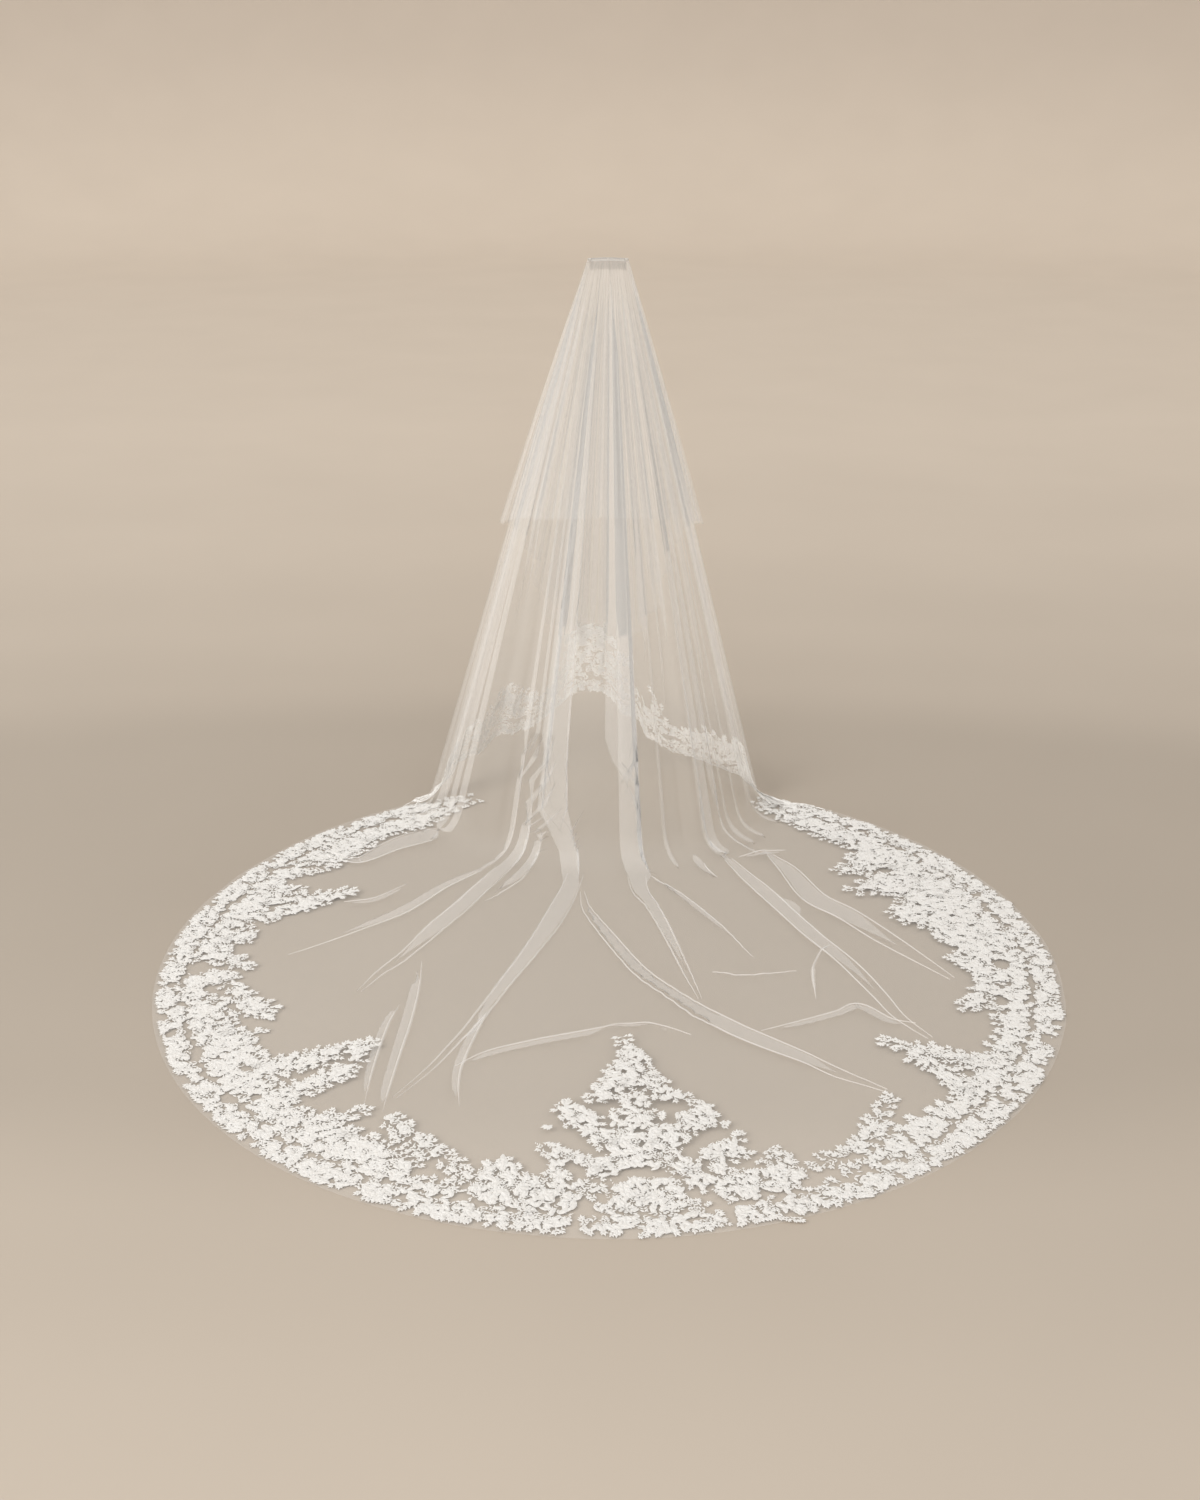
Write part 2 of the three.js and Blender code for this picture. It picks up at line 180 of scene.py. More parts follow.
def fine_pleats(seed, count):
    """Small pleats between the large ones, in degrees, shares and metres."""
    rng = np.random.default_rng(seed)
    made = []
    for k in range(count):
        start = rng.uniform(0.0, 0.5) if k % 3 else 0.0
        made.append((rng.uniform(0, 360), rng.uniform(0.9, 2.2), rng.uniform(0.45, 0.85), 0.003,
                     start, start + rng.uniform(0.5, 1.3)))
    return made


LONG_PLEATS = [*(np.array(LONG_PLEATS) / PLEAT_UNITS), *fine_pleats(41, 64)]
SHORT_PLEATS = [(*row, HEM) for row in SHORT_PLEATS]
SHORT_PLEATS = [*(np.array(SHORT_PLEATS) / PLEAT_UNITS), *fine_pleats(43, 56)]

# A fold of the train or a strip that runs on into one doubles its cloth back by DOUBLE of half
# its range, and the strip of three layers is then STRIP of that half range wide.
DOUBLE = 0.78
STRIP = 0.73
CHART = 0.90  # how much of a charted width the strip takes
MIN_STRIP = 0.011


def fold_back(q):
    """Across a pleat, q from -1 to 1: how far the cloth moves back, and how its top layer rises."""
    near = np.abs(q) < 1
    rise = smooth(-0.5, 0.5, q) * (1 - smooth(0.55, 1.0, q))
    return np.where(near, np.sin(math.pi * q), 0), np.where(near, rise, 0)


def add_pleats(angle, along, lying, pleats):
    """The directions of cloth with its pleats, and how far the pleats stand out."""
    shift, depth = np.zeros_like(angle), np.zeros_like(angle)
    grown = np.minimum(1, 0.12 + along / 0.5)
    for centre, width, double, deep, start, stop in pleats:
        half = math.radians(width)
        env = smooth(start * 0.3, start + 0.15, along) * (1 - smooth(stop - 0.25, stop, along))
        env = env * (1 - 0.98 * smooth(0.90, 1.0, lying))
        back, rise = fold_back(around(angle, math.radians(centre)) / half)
        shift -= double * half * back * env
        depth += deep * rise * env * grown
    return angle + shift, depth


def add_streams(at, depth, along, share, streams):
    """Adds the strips that come down the fall and run on over the floor."""
    for shares, centres, halves, lines in streams:
        fade = 1 - smooth(shares[-1] - 0.45 * (shares[-1] - 1), shares[-1], share)
        env = smooth(0.02, 0.25, along) * fade
        centre = np.interp(share, shares, centres)
        half = np.interp(share, shares, halves)
        back, rise = fold_back(around(at, centre) / half)
        at = at - DOUBLE * half * back * env
        depth += 0.0045 * rise * env
        # a narrow second crease makes the bright line along one edge of the hanging strip
        line = np.interp(share, shares, lines)
        env = env * (1 - smooth(1.00, 1.12, share))
        back, rise = fold_back(around(at - centre, 0.34 * half) / line)
        at = at - 0.75 * line * back * env
        depth += 0.0012 * rise * env
    return at, depth


def cloth_waves(angle, along):
    """Soft and fine waves that grow down the hanging net."""
    rng = np.random.default_rng(11)
    wave, fine = np.zeros_like(angle), np.zeros_like(angle)
    for k, size in ((9, 0.30), (14, 0.45), (23, 0.22), (37, 0.12)):
        phase = rng.uniform(0, FULL_TURN)
        wave += size * np.cos(k * angle + phase + 0.4 * np.sin(2 * angle + phase))
    for k in (71, 97, 128):
        phase = rng.uniform(0, FULL_TURN)
        fine += np.cos(k * angle + phase + 0.7 * np.sin(3 * angle + 2 * phase))
    return (0.0004 + 0.0125 * along) * wave + 0.0005 * fine * smooth(0.0, 0.12, along)


def pleated(angle, along, pleats, streams=(), clear_top=0.0, clear_growth=0.0):
    """Points of a pleated sheet and how far each lies on the floor, from 0 to 1. angle is the
    direction in the cloth, before it doubles back. The clear values hold a sheet off the comb."""
    cone = Cone(angle)
    lying = cone.lying(along)
    at, depth = add_pleats(angle, along, lying, pleats)
    at, depth = add_streams(at, depth, along, along / cone.wall, streams)
    moved = Cone(at)
    # a doubled strip keeps the length of its own column
    reach = np.minimum(along, moved.wall + np.maximum(0, along - cone.wall))
    waves = cloth_waves(angle, along)
    push = clear_top + clear_growth * along + waves * (1 - lying) ** 2 + depth * (1 - lying)
    point = moved.path(reach) + moved.outward(along) * push[..., None]
    point[..., 2] += depth * lying
    return point, lying


# Folds of the train on the floor, in plan and in millimetres: points from the tent outwards, each
# with the width of the doubled strip there.
TRAIN_FOLDS = {
    "centre_right": [(-70, -570, 12), (-55, -680, 26), (-5, -819, 40), (76, -1011, 46),
        (140, -1110, 46), (205, -1200, 55), (284, -1290, 66), (364, -1360, 64), (442, -1422, 52),
        (517, -1483, 36), (614, -1546, 12)],
    "left_inner": [(-67, -241, 26), (-90, -479, 49), (-140, -718, 58), (-192, -898, 46),
        (-257, -1083, 34), (-317, -1263, 29), (-368, -1383, 21), (-410, -1475, 17), (-472, -1584, 11)],
    "left_branch": [(-285, -1200, 10), (-315, -1300, 20), (-342, -1445, 21), (-344, -1534, 18),
        (-332, -1620, 9)],
    "left_wide": [(-183, -241, 20), (-243, -338, 42), (-344, -557, 53), (-444, -779, 50),
        (-523, -945, 37), (-576, -1038, 23), (-611, -1119, 12)],
    "left_second": [(-360, -456, 18), (-453, -557, 27), (-548, -701, 34), (-653, -789, 37),
        (-756, -869, 32), (-821, -926, 17)],
    "vertex_line": [(-129, -302, 17), (-209, -410, 28), (-265, -524, 27), (-339, -638, 15)],
    "left_low": [(-476, -974, 11), (-475, -1101, 24), (-480, -1255, 27), (-490, -1414, 24),
        (-498, -1563, 20), (-498, -1634, 10)],
    "left_low_2": [(-510, -1188, 10), (-530, -1288, 19), (-541, -1445, 19), (-543, -1620, 11)],
    "strip_end": [(55, -8, 69), (72, -290, 68), (86, -546, 52), (118, -655, 38), (148, -779, 32),
        (176, -917, 24), (202, -1047, 18), (222, -1145, 10)],
    "centre_line": [(117, -490, 16), (194, -594, 23), (299, -803, 21), (363, -951, 10)],
    "right_wide": [(342, -386, 23), (389, -501, 45), (456, -655, 52), (533, -839, 50), (607, -992, 48),
        (659, -1136, 40), (694, -1247, 31), (748, -1336, 15)],
    "right_inner": [(199, -216, 13), (245, -362, 30), (270, -440, 26), (300, -490, 12)],
    "right_outer": [(462, -362, 21), (505, -456, 58), (557, -623, 79), (633, -718, 78), (712, -839, 65),
        (787, -955, 42), (851, -1056, 18)],
    "right_cross": [(375, -375, 14), (420, -355, 30), (465, -343, 30), (512, -329, 14)],
    "low_arc": [(-348, -1471, 13), (-282, -1414, 29), (-175, -1368, 33), (-24, -1315, 34),
        (53, -1283, 39), (113, -1296, 31), (188, -1331, 15)],
    "right_low": [(360, -1307, 15), (458, -1271, 27), (549, -1230, 29), (601, -1200, 34),
        (665, -1266, 32), (723, -1280, 20)],
    "right_small": [(502, -1162, 7), (509, -1029, 16), (536, -936, 18), (568, -894, 10)],
    "left_flap": [(-794, -338, 22), (-725, -386, 42), (-685, -381, 55), (-621, -302, 85),
        (-553, -246, 108), (-462, -191, 100), (-350, -101, 31)],
    "left_small": [(-710, -655, 17), (-642, -650, 30), (-597, -612, 25), (-549, -546, 14)],
    "right_arc": [(257, -1025, 14), (337, -1051, 25), (470, -1029, 14)],
}
# Folds that come down the fall and run on over the floor. The hanging part of the two wide ones:
# share of the drop, direction, and half of the cloth that it takes in degrees.
STREAMS = {
    "left_inner": [(0.0, -17.5, 15.0), (0.80, -17.5, 15.0), (0.91, -14.7, 12.0), (0.98, -9.0, 9.0)],
    "strip_end": [(0.0, 12.0, 11.5), (0.80, 12.0, 11.5), (0.97, 12.0, 11.0)],
    **dict.fromkeys(("left_wide", "left_second", "vertex_line", "centre_line", "right_wide",
                     "right_outer")),
}
EDGE_LINE = 0.015  # width of the bright line along a strip, on the floor
HUNG_LINES = (0.9, 1.3, 1.6, 1.7)  # and its half range in degrees in the hanging part


def curve_points(points, steps=10):
    """A smooth curve through points in millimetres, as points in metres."""
    p = np.array(points, float) / 1000
    p = np.vstack([2 * p[0] - p[1], p, 2 * p[-1] - p[-2]])
    out = []
    for k in range(1, len(p) - 2):
        for n in range(steps):
            t = n / steps
            out.append(
                0.5 * (2 * p[k] + (p[k + 1] - p[k - 1]) * t
                       + (2 * p[k - 1] - 5 * p[k] + 4 * p[k + 1] - p[k + 2]) * t**2
                       + (3 * p[k] - p[k - 1] - 3 * p[k + 1] + p[k + 2]) * t**3)
            )
    out.append(p[-2])
    return np.array(out)


def laid_part(spine, look, cone):
    """A charted fold as rows of share of the drop, direction, half range and half line."""
    rows = []
    for x, y, width in curve_points(spine, 4):
        dx, dy = x - cone.foot[:, 0], y - cone.foot[:, 1]
        cross = dx * cone.out[:, 1] - dy * cone.out[:, 0]
        ahead = dx * cone.out[:, 0] + dy * cone.out[:, 1]
        k = int(np.argmin(np.abs(cross) + 10 * (ahead < 0)))
        if ahead[k] < CORNER or abs(cross[k]) > 0.01:
            continue
        wall = cone.wall[k]
        span = np.array([look[k] - 0.01, look[k] + 0.01])
        ends = Cone(span).path(np.full(2, wall + ahead[k]))
        metres = np.linalg.norm(ends[1] - ends[0]) / 0.02
        half = max(width, 0.012) * CHART / STRIP / metres
        rows.append(((wall + ahead[k]) / wall, look[k], half, EDGE_LINE / STRIP / metres))
    return rows


def stream_paths():
    """Each stream as arrays of share of the drop, direction, half range and half line."""
    look = np.radians(np.linspace(-100, 100, 8001))
    cone = Cone(look)
    made = []
    for name, spine in TRAIN_FOLDS.items():
        if name not in STREAMS:
            continue
        laid = laid_part(spine, look, cone)
        hung = STREAMS[name]
        if hung is None:
            first, half = math.degrees(laid[0][1]), math.degrees(laid[0][2])
            hung = [(0.0, first, 1.4), (0.75, first, 2.2), (0.97, first, max(2.2, half * 0.8))]
        top = [(share, *map(math.radians, (direction, half, line)))
               for (share, direction, half), line in zip(hung, HUNG_LINES)]
        table = np.array(top + laid)
        made.append(table[np.argsort(table[:, 0])].T)
    return made


STREAM_PATHS = stream_paths()


def to_curve(x, y, curve):
    """Distance to a curve in plan, signed distance, place along it from 0 to 1, and its normal."""
    best = np.full(x.shape, 1e9)
    side, where = np.zeros_like(x), np.zeros_like(x)
    normal_x, normal_y = np.zeros_like(x), np.zeros_like(x)
    count = len(curve) - 1
    for k in range(count):
        start, run = curve[k], curve[k + 1] - curve[k]
        square = run @ run
        t = np.clip(((x - start[0]) * run[0] + (y - start[1]) * run[1]) / square, 0, 1)
        from_x, from_y = x - start[0] - t * run[0], y - start[1] - t * run[1]
        dist = np.hypot(from_x, from_y)
        closer = dist < best
        length = math.sqrt(square)
        vx, vy = -run[1] / length, run[0] / length
        best = np.where(closer, dist, best)
        side = np.where(closer, from_x * vx + from_y * vy, side)
        where = np.where(closer, (k + t) / count, where)
        normal_x = np.where(closer, vx, normal_x)
        normal_y = np.where(closer, vy, normal_y)
    return best, side, where, normal_x, normal_y


def train_folds(point, lying):
    """Lays the folds that are no streams into the sheet: places in plan, and the lift there."""
    x, y = point[..., 0].copy(), point[..., 1].copy()
    lift = np.zeros_like(x)
    for name, spine in TRAIN_FOLDS.items():
        if name in STREAMS:
            continue
        curve = curve_points(spine)
        widths, curve = curve[:, 2], curve[:, :2]
        near = (
            (x > curve[:, 0].min() - 0.2) & (x < curve[:, 0].max() + 0.2)
            & (y > curve[:, 1].min() - 0.2) & (y < curve[:, 1].max() + 0.2) & (lying > 0)
        )
        best, side, where, normal_x, normal_y = to_curve(x[near], y[near], curve)
        taper = smooth(0.0, 0.16, where) * (1 - smooth(0.80, 1.0, where))
        taper = taper * smooth(0.50, 0.90, lying[near])
        width = np.interp(where * (len(curve) - 1), np.arange(len(curve)), widths)
        strip = CHART * np.maximum(width, MIN_STRIP)
        half = strip / STRIP
        q = side / half
        inside = (np.abs(q) < 1) & (best < 0.2)
        move = np.where(inside, -DOUBLE * half * np.sin(math.pi * q), 0) * taper
        x[near] += normal_x * move
        y[near] += normal_y * move
        rise = smooth(-0.55, 0.35, q) * (1 - smooth(0.42, 0.95, q))
        height = 0.003 + 0.10 * np.minimum(strip, 0.055)
        lift[near] += np.where(inside, height * rise, 0) * taper
    return x, y, lift


def train_waves(x, y):
    """Low soft waves of the cloth on the floor."""
    z = np.zeros_like(x)
    rng = np.random.default_rng(5)
    for _k in range(16):
        heading = rng.uniform(-0.9, 0.9)
        size = rng.uniform(5, 21)
        phase = rng.uniform(0, FULL_TURN)
        z += np.cos(size * (x * math.cos(heading) + y * math.sin(heading)) + phase) / (4 + size)
    return 0.010 * (z + 0.9).clip(0.0, 2.0)


def floor_lift(x, y):
    """How high the plain, unfolded cloth lies at a place on the floor."""
    radius = np.hypot(x, y - TRAIN_CENTRE_Y)
    inner = 1 - smooth(TRAIN_RADIUS - 0.42, TRAIN_RADIUS - 0.02, radius)
    return train_waves(x, y) * (0.25 + 0.75 * inner)


def laid_down(point, lying):
    """Adds the train's folds and waves to points of the long sheet."""
    x, y, lift = train_folds(point, lying)
    point[..., 0], point[..., 1] = x, y
    point[..., 2] += lift + floor_lift(x, y) * smooth(0.2, 1.0, lying)
    point[..., 2] = np.maximum(point[..., 2], LIE)
    return point


def add_object(name, data):
    obj = bpy.data.objects.new(name, data)
    bpy.context.scene.collection.objects.link(obj)
    return obj


def mesh_object(name, points, faces, smooth_shade=True, sharp_from=45):
    """A mesh with smooth faces, apart from edges that bend by more than sharp_from degrees: where
    net doubles back sharply, smooth shading would draw a dark line."""
    mesh = bpy.data.meshes.new(name)
    mesh.vertices.add(len(points))
    mesh.vertices.foreach_set("co", np.ascontiguousarray(points, np.float32).ravel())
    faces = np.asarray(faces, np.int32)
    count, sides = faces.shape
    mesh.loops.add(count * sides)
    mesh.loops.foreach_set("vertex_index", faces.ravel())
    mesh.polygons.add(count)
    mesh.polygons.foreach_set("loop_start", np.arange(0, count * sides, sides, dtype=np.int32))
    mesh.polygons.foreach_set("use_smooth", np.full(count, smooth_shade))
    mesh.update(calc_edges=True)
    mesh.validate()
    if smooth_shade:
        mesh.set_sharp_from_angle(angle=math.radians(sharp_from))
    return add_object(name, mesh)


def grid_faces(columns, rows, tube=False):
    """The faces of a closed ring of columns. In a tube the last row joins the first as well."""
    i, j = np.meshgrid(np.arange(columns), np.arange(rows if tube else rows - 1), indexing="ij")
    after, above = (i + 1) % columns, (j + 1) % rows
    corners = [i * rows + j, i * rows + above, after * rows + above, after * rows + j]
    return np.stack(corners, -1).reshape(-1, 4)


def column_angles(count, crowd):
    """Directions all round, closer together along the train the larger crowd is."""
    turn = FULL_TURN * np.arange(count) / count
    return turn - crowd * np.sin(turn)


def train_rows(span):
    """Shares of the lying cloth, closest together where folds cross the train."""
    hem = min(0.30, span * 0.4)
    folds = min(0.75, span * 0.8)
    return 1 - np.interp(np.arange(66), [0, 16, 57, 65], [span, folds, hem, 0.0]) / span


# The long sheet.
def long_sheet():
    angles = column_angles(1040, 0.42)
    cone = Cone(angles)
    hung_rows = np.linspace(0, 1, 20) ** 0.8
    rows = []
    for length, wall in zip(cone.length, cone.wall):
        enter = min(wall - CORNER, 0.80 * length)
        leave = min(wall + CORNER, 0.93 * length)
        rows.append(np.concatenate([
            enter * hung_rows[:-1],
            np.linspace(enter, leave, 11)[:-1],
            leave + (length - leave) * train_rows(length - leave),
        ]))
    along = np.array(rows)
    directions = np.repeat(angles[:, None], along.shape[1], 1)
    point, lying = pleated(directions, along, LONG_PLEATS, STREAM_PATHS)
    point = laid_down(point, lying)
    sheet = mesh_object("long_tier_tulle", point.reshape(-1, 3), grid_faces(*along.shape))
    return sheet, point, lying


long_tier, long_points, long_lying = long_sheet()


# Creases: narrow rolled ribbons of net along the edges of the floor folds, lying on the sheet.
def crease_sides(widest):
    """Both edges of a wide fold get a crease, one edge of a narrower one, or else its middle."""
    if widest > 0.042:
        return (-1, 1)
    return (1,) if widest > 0.020 else (0,)


def unit(v):
    return v / np.linalg.norm(v, axis=1, keepdims=True)


def crease_heights(line, tree, low):
    """The highest cloth near each point of a line, evened out along it."""
    height = []
    for x, y in line:
        found = tree.find_range((x, y, 0.0), 0.011)
        height.append(max([low[f[1]][2] for f in found], default=LIE))
    return np.convolve(np.pad(height, 4, mode="edge"), np.ones(9) / 9, mode="valid")


def crease_lines():
    flat = long_points.reshape(-1, 3)
    low = flat[(long_lying.reshape(-1) > 0.9) & (flat[:, 1] < -0.2)]
    tree = KDTree(len(low))
    for k, v in enumerate(low):
        tree.insert((v[0], v[1], 0.0), k)
    tree.balance()
    points, faces = [], []
    for spine in TRAIN_FOLDS.values():
        curve = curve_points(spine, 14)
        run = unit(np.gradient(curve[:, :2], axis=0))
        normal = np.stack([-run[:, 1], run[:, 0]], -1)
        for side in crease_sides(curve[:, 2].max()):
            line = curve[:, :2] + normal * (side * 0.45 * curve[:, 2])[:, None]
            # a crease starts a little outside the oval where the hanging net comes down
            over_x = (line[:, 0] - RING_SHIFT_X) / (RING_X + 0.08)
            line = line[np.hypot(over_x, line[:, 1] / (RING_TRAIN_Y + 0.08)) > 1]
            if len(line) < 8:
                continue
            height = crease_heights(line, tree, low)
            t = np.linspace(0, 1, len(line))
            half = 0.0008 + 0.0022 * np.sin(math.pi * np.clip(t * 1.05, 0, 1)) ** 0.6
            heading = unit(np.gradient(line, axis=0))
            across = np.stack([-heading[:, 1], heading[:, 0]], -1)
            base = len(points)
            for k in range(len(line)):
                for u, up in ((-1.0, 0.0004), (0.0, 0.0022), (1.0, 0.0004)):
                    q = line[k] + across[k] * half[k] * u
                    points.append((q[0], q[1], height[k] + up))
            for k in range(len(line) - 1):
                for f in (base + 3 * k, base + 3 * k + 1):
                    faces.append((f, f + 1, f + 4, f + 3))
    return mesh_object("fold_creases", np.array(points), faces)


creases = crease_lines()


# The short sheet.
def short_sheet():
    angles = column_angles(900, 0.0)
    along = Cone(angles).short_length[:, None] * (np.linspace(0, 1, 44)[None, :] ** 0.95)
    directions = np.repeat(angles[:, None], along.shape[1], 1)
    point, _lying = pleated(directions, along, SHORT_PLEATS, (), 0.0022, 0.034)
    return mesh_object("short_tier_tulle", point.reshape(-1, 3), grid_faces(*along.shape))


short_tier = short_sheet()


# Lace. Each leaf is one small raised shape, scaled from an outline of length and width 1.
def raised(*points):
    """An outline and, as the last point, its middle: points, and a fan of triangles."""
    rim = len(points) - 1
    return np.array(points), np.array([(k, rim, (k + 1) % rim) for k in range(rim)])


LEAF = raised((0.00, 0.00, 0.00), (0.30, 0.42, 0.04), (0.70, 0.40, 0.04), (1.00, 0.12, 0.03),
              (1.00, -0.12, 0.03), (0.70, -0.40, 0.04), (0.30, -0.42, 0.04), (0.52, 0.00, 0.30))
SMALL = raised((0.00, 0.00, 0.00), (0.40, 0.46, 0.05), (1.06, 0.05, 0.04), (1.06, -0.05, 0.04),
               (0.40, -0.46, 0.05), (0.48, 0.00, 0.30))
# A petal is cupped: its rim is higher than its middle.
PETAL = raised((0.00, 0.00, 0.00), (0.40, 0.44, 0.10), (0.80, 0.40, 0.16), (1.00, 0.12, 0.12),
               (1.00, -0.12, 0.12), (0.80, -0.40, 0.16), (0.40, -0.44, 0.10), (0.55, 0.00, -0.02))
SMALL_BELOW = 0.0165  # leaves shorter than this have the smaller outline
WIDER, HIGHER = 1.15, 0.6  # width of a leaf against the width that is asked for, and its height
# Rings of a rose from the outside in: petals, then their start, length, width and lift.
ROSE_RINGS = ((7, 0.50, 0.50, 0.50, 0.0), (5, 0.22, 0.42, 0.42, 0.0007), (3, 0.0, 0.30, 0.30, 0.0014))


class Lace:
    """Collects leaves in plan and turns them into one mesh."""

    def __init__(self, seed):
        self.rng = np.random.default_rng(seed)
        self.items = []

    def leaf(self, x, y, heading, length, width, lift=0.0, petal=0.0):
        self.items.append((x, y, heading, length, width, lift, petal))

    def spray(self, x, y, heading, length, bend, leaf, lift):
        """A stem with paired leaves that shrink towards its tip."""
        rng = self.rng
        pairs = max(2, int(length / (leaf * 0.66)))
        step = length / pairs
        for k in range(pairs):
            size = leaf * (1.05 - 0.40 * (k / pairs)) * rng.uniform(0.85, 1.15)
            for side in (-1, 1):
                spread = side * rng.uniform(0.60, 1.00)
                self.leaf(x, y, heading + spread, size, size * rng.uniform(0.36, 0.48), lift)
            x += math.cos(heading) * step
            y += math.sin(heading) * step
            heading += bend * step / length
        self.leaf(x, y, heading, leaf * 0.75, leaf * 0.38, lift)

    def sprig(self, x, y, heading, length, leaf=0.009):
        """A thin twig that ends in a few small round buds."""
        rng = self.rng
        dx, dy = math.cos(heading), math.sin(heading)
        self.leaf(x, y, heading, length * 0.7, 0.0036)
        for share, side in ((0.35, 1), (0.55, -1), (0.75, 1), (0.8, -1), (0.85, 0)):
            turn = side * rng.uniform(0.55, 0.95)
            size = leaf * rng.uniform(0.85, 1.2)
            self.leaf(x + dx * length * share, y + dy * length * share, heading + turn, size, size * 0.55)

    def rose(self, x, y, radius, lift):
        turn = self.rng.uniform(0, 6.28)
        for ring, (count, inner, long, wide, up) in enumerate(ROSE_RINGS):
            for k in range(count):
                a = turn + ring * 0.55 + 2 * math.pi * k / count
                start = radius * inner
                self.leaf(x + math.cos(a) * start, y + math.sin(a) * start, a,
                          radius * long, radius * wide, lift + up, 1.0)

    def trim(self, inside, grow):
        """Drops the leaves that reach outside."""
        leaves = np.array(self.items)
        tip_x = leaves[:, 0] + np.cos(leaves[:, 2]) * leaves[:, 3] * 0.75
        tip_y = leaves[:, 1] + np.sin(leaves[:, 2]) * leaves[:, 3] * 0.75
        self.items = [tuple(v) for v in leaves[inside(tip_x, tip_y, grow)]]

    def arrays(self):
        """Places in plan, heights over the net, and triangles."""
        leaves = np.array(self.items)
        petal = leaves[:, 6] > 0.5
        big = ~petal & (leaves[:, 3] > SMALL_BELOW)
        places, tris, base = [], [], 0
        for chosen, (pts, faces) in ((petal, PETAL), (big, LEAF), (~petal & ~big, SMALL)):
            rows = leaves[chosen]
            x, y, heading, length, width, lift = (rows[:, k:k + 1] for k in range(6))
            cos, sin = np.cos(heading), np.sin(heading)
            px = pts[None, :, 0] * length
            py = pts[None, :, 1] * width * WIDER
            pz = pts[None, :, 2] * width * HIGHER + lift
            places.append([v.ravel() for v in (x + px * cos - py * sin, y + px * sin + py * cos, pz)])
            starts = base + np.arange(len(rows)) * len(pts)
            tris.append((faces[None] + starts[:, None, None]).reshape(-1, 3))
            base += len(rows) * len(pts)
        x, y, z = np.concatenate(places, 1)
        return x, y, z, np.concatenate(tris)


# Direction round the train's own centre in degrees, 0 at the far end of the train and growing to
# the right, and how far in from the hem the lace reaches in centimetres.
TRAIN_LACE = np.array([
    (-158, 6), (-151, 12), (-145, 17), (-138, 15), (-131.7, 18), (-125.5, 19), (-122, 9), (-118, 9),
    (-114, 12), (-111.4, 18), (-108, 12), (-101.2, 18), (-97.4, 11), (-91.4, 16), (-87, 9), (-84, 16),
    (-78.1, 13), (-72.1, 17), (-68.8, 18), (-62.9, 19), (-58.1, 19), (-54, 17), (-48.1, 16),
    (-43.4, 16), (-36.9, 18), (-34, 18), (-30.7, 18), (-27.7, 17), (-24.1, 14), (-22.4, 10),
    (-19.8, 11), (-16, 12), (-13.5, 9), (-12.5, 0), (17.8, 0), (19.0, 7), (21.4, 8), (23.3, 6),
    (27.7, 8), (33, 12), (37.6, 14), (42.3, 15), (50.6, 12), (52.4, 16), (59.3, 13), (63.7, 14),
    (68.8, 13), (74.9, 17), (80, 19), (86, 20), (92.9, 23), (99, 25), (102.3, 31), (106.4, 34),
    (113, 25), (118.5, 38), (122.5, 22), (126.5, 33), (131, 17), (138, 18), (147, 14), (155, 7),
]) / (1, 100)
# Arms of lace that lean out of that edge, in plan and millimetres: from, to, and the half widths
# at both ends.
ARMS = np.array([
    (-776, -1463, -551, -1359, 33, 12), (-719, -1562, -603, -1481, 27, 20),
    (-603, -1481, -571, -1381, 14, 14), (-662, -1692, -544, -1630, 33, 4),
    (-478, -1666, -287, -1869, 15, 13), (-935, -1164, -818, -1227, 27, 8),
    (866, -1450, 642, -1348, 30, 8), (702, -1398, 774, -1506, 21, 17), (774, -1506, 805, -1578, 15, 15),
    (818, -1675, 716, -1620, 30, 6), (499, -1800, 569, -1685, 14, 14), (569, -1685, 613, -1582, 12, 5),
    (524, -1783, 427, -1819, 19, 8), (-970, -1022, -910, -1116, 14, 14),
    (-910, -1116, -861, -1178, 15, 15), (-861, -1178, -814, -1193, 19, 10),
    (-863, -1328, -830, -1302, 21, 5), (-849, -1398, -811, -1392, 22, 5),
    (-1021, -830, -934, -830, 33, 20), (-974, -946, -904, -982, 26, 8),
    (-973, -484, -770, -401, 45, 10), (-970, -642, -829, -606, 24, 18),
    (-921, -717, -805, -642, 26, 26), (-807, -624, -704, -582, 32, 14),
    (-991, -527, -848, -564, 34, 10), (937, -1067, 901, -1155, 20, 17), (900, -1164, 859, -1188, 23, 6),
    (944, -1007, 876, -951, 29, 16), (943, -882, 860, -831, 40, 12),
]) / 1000
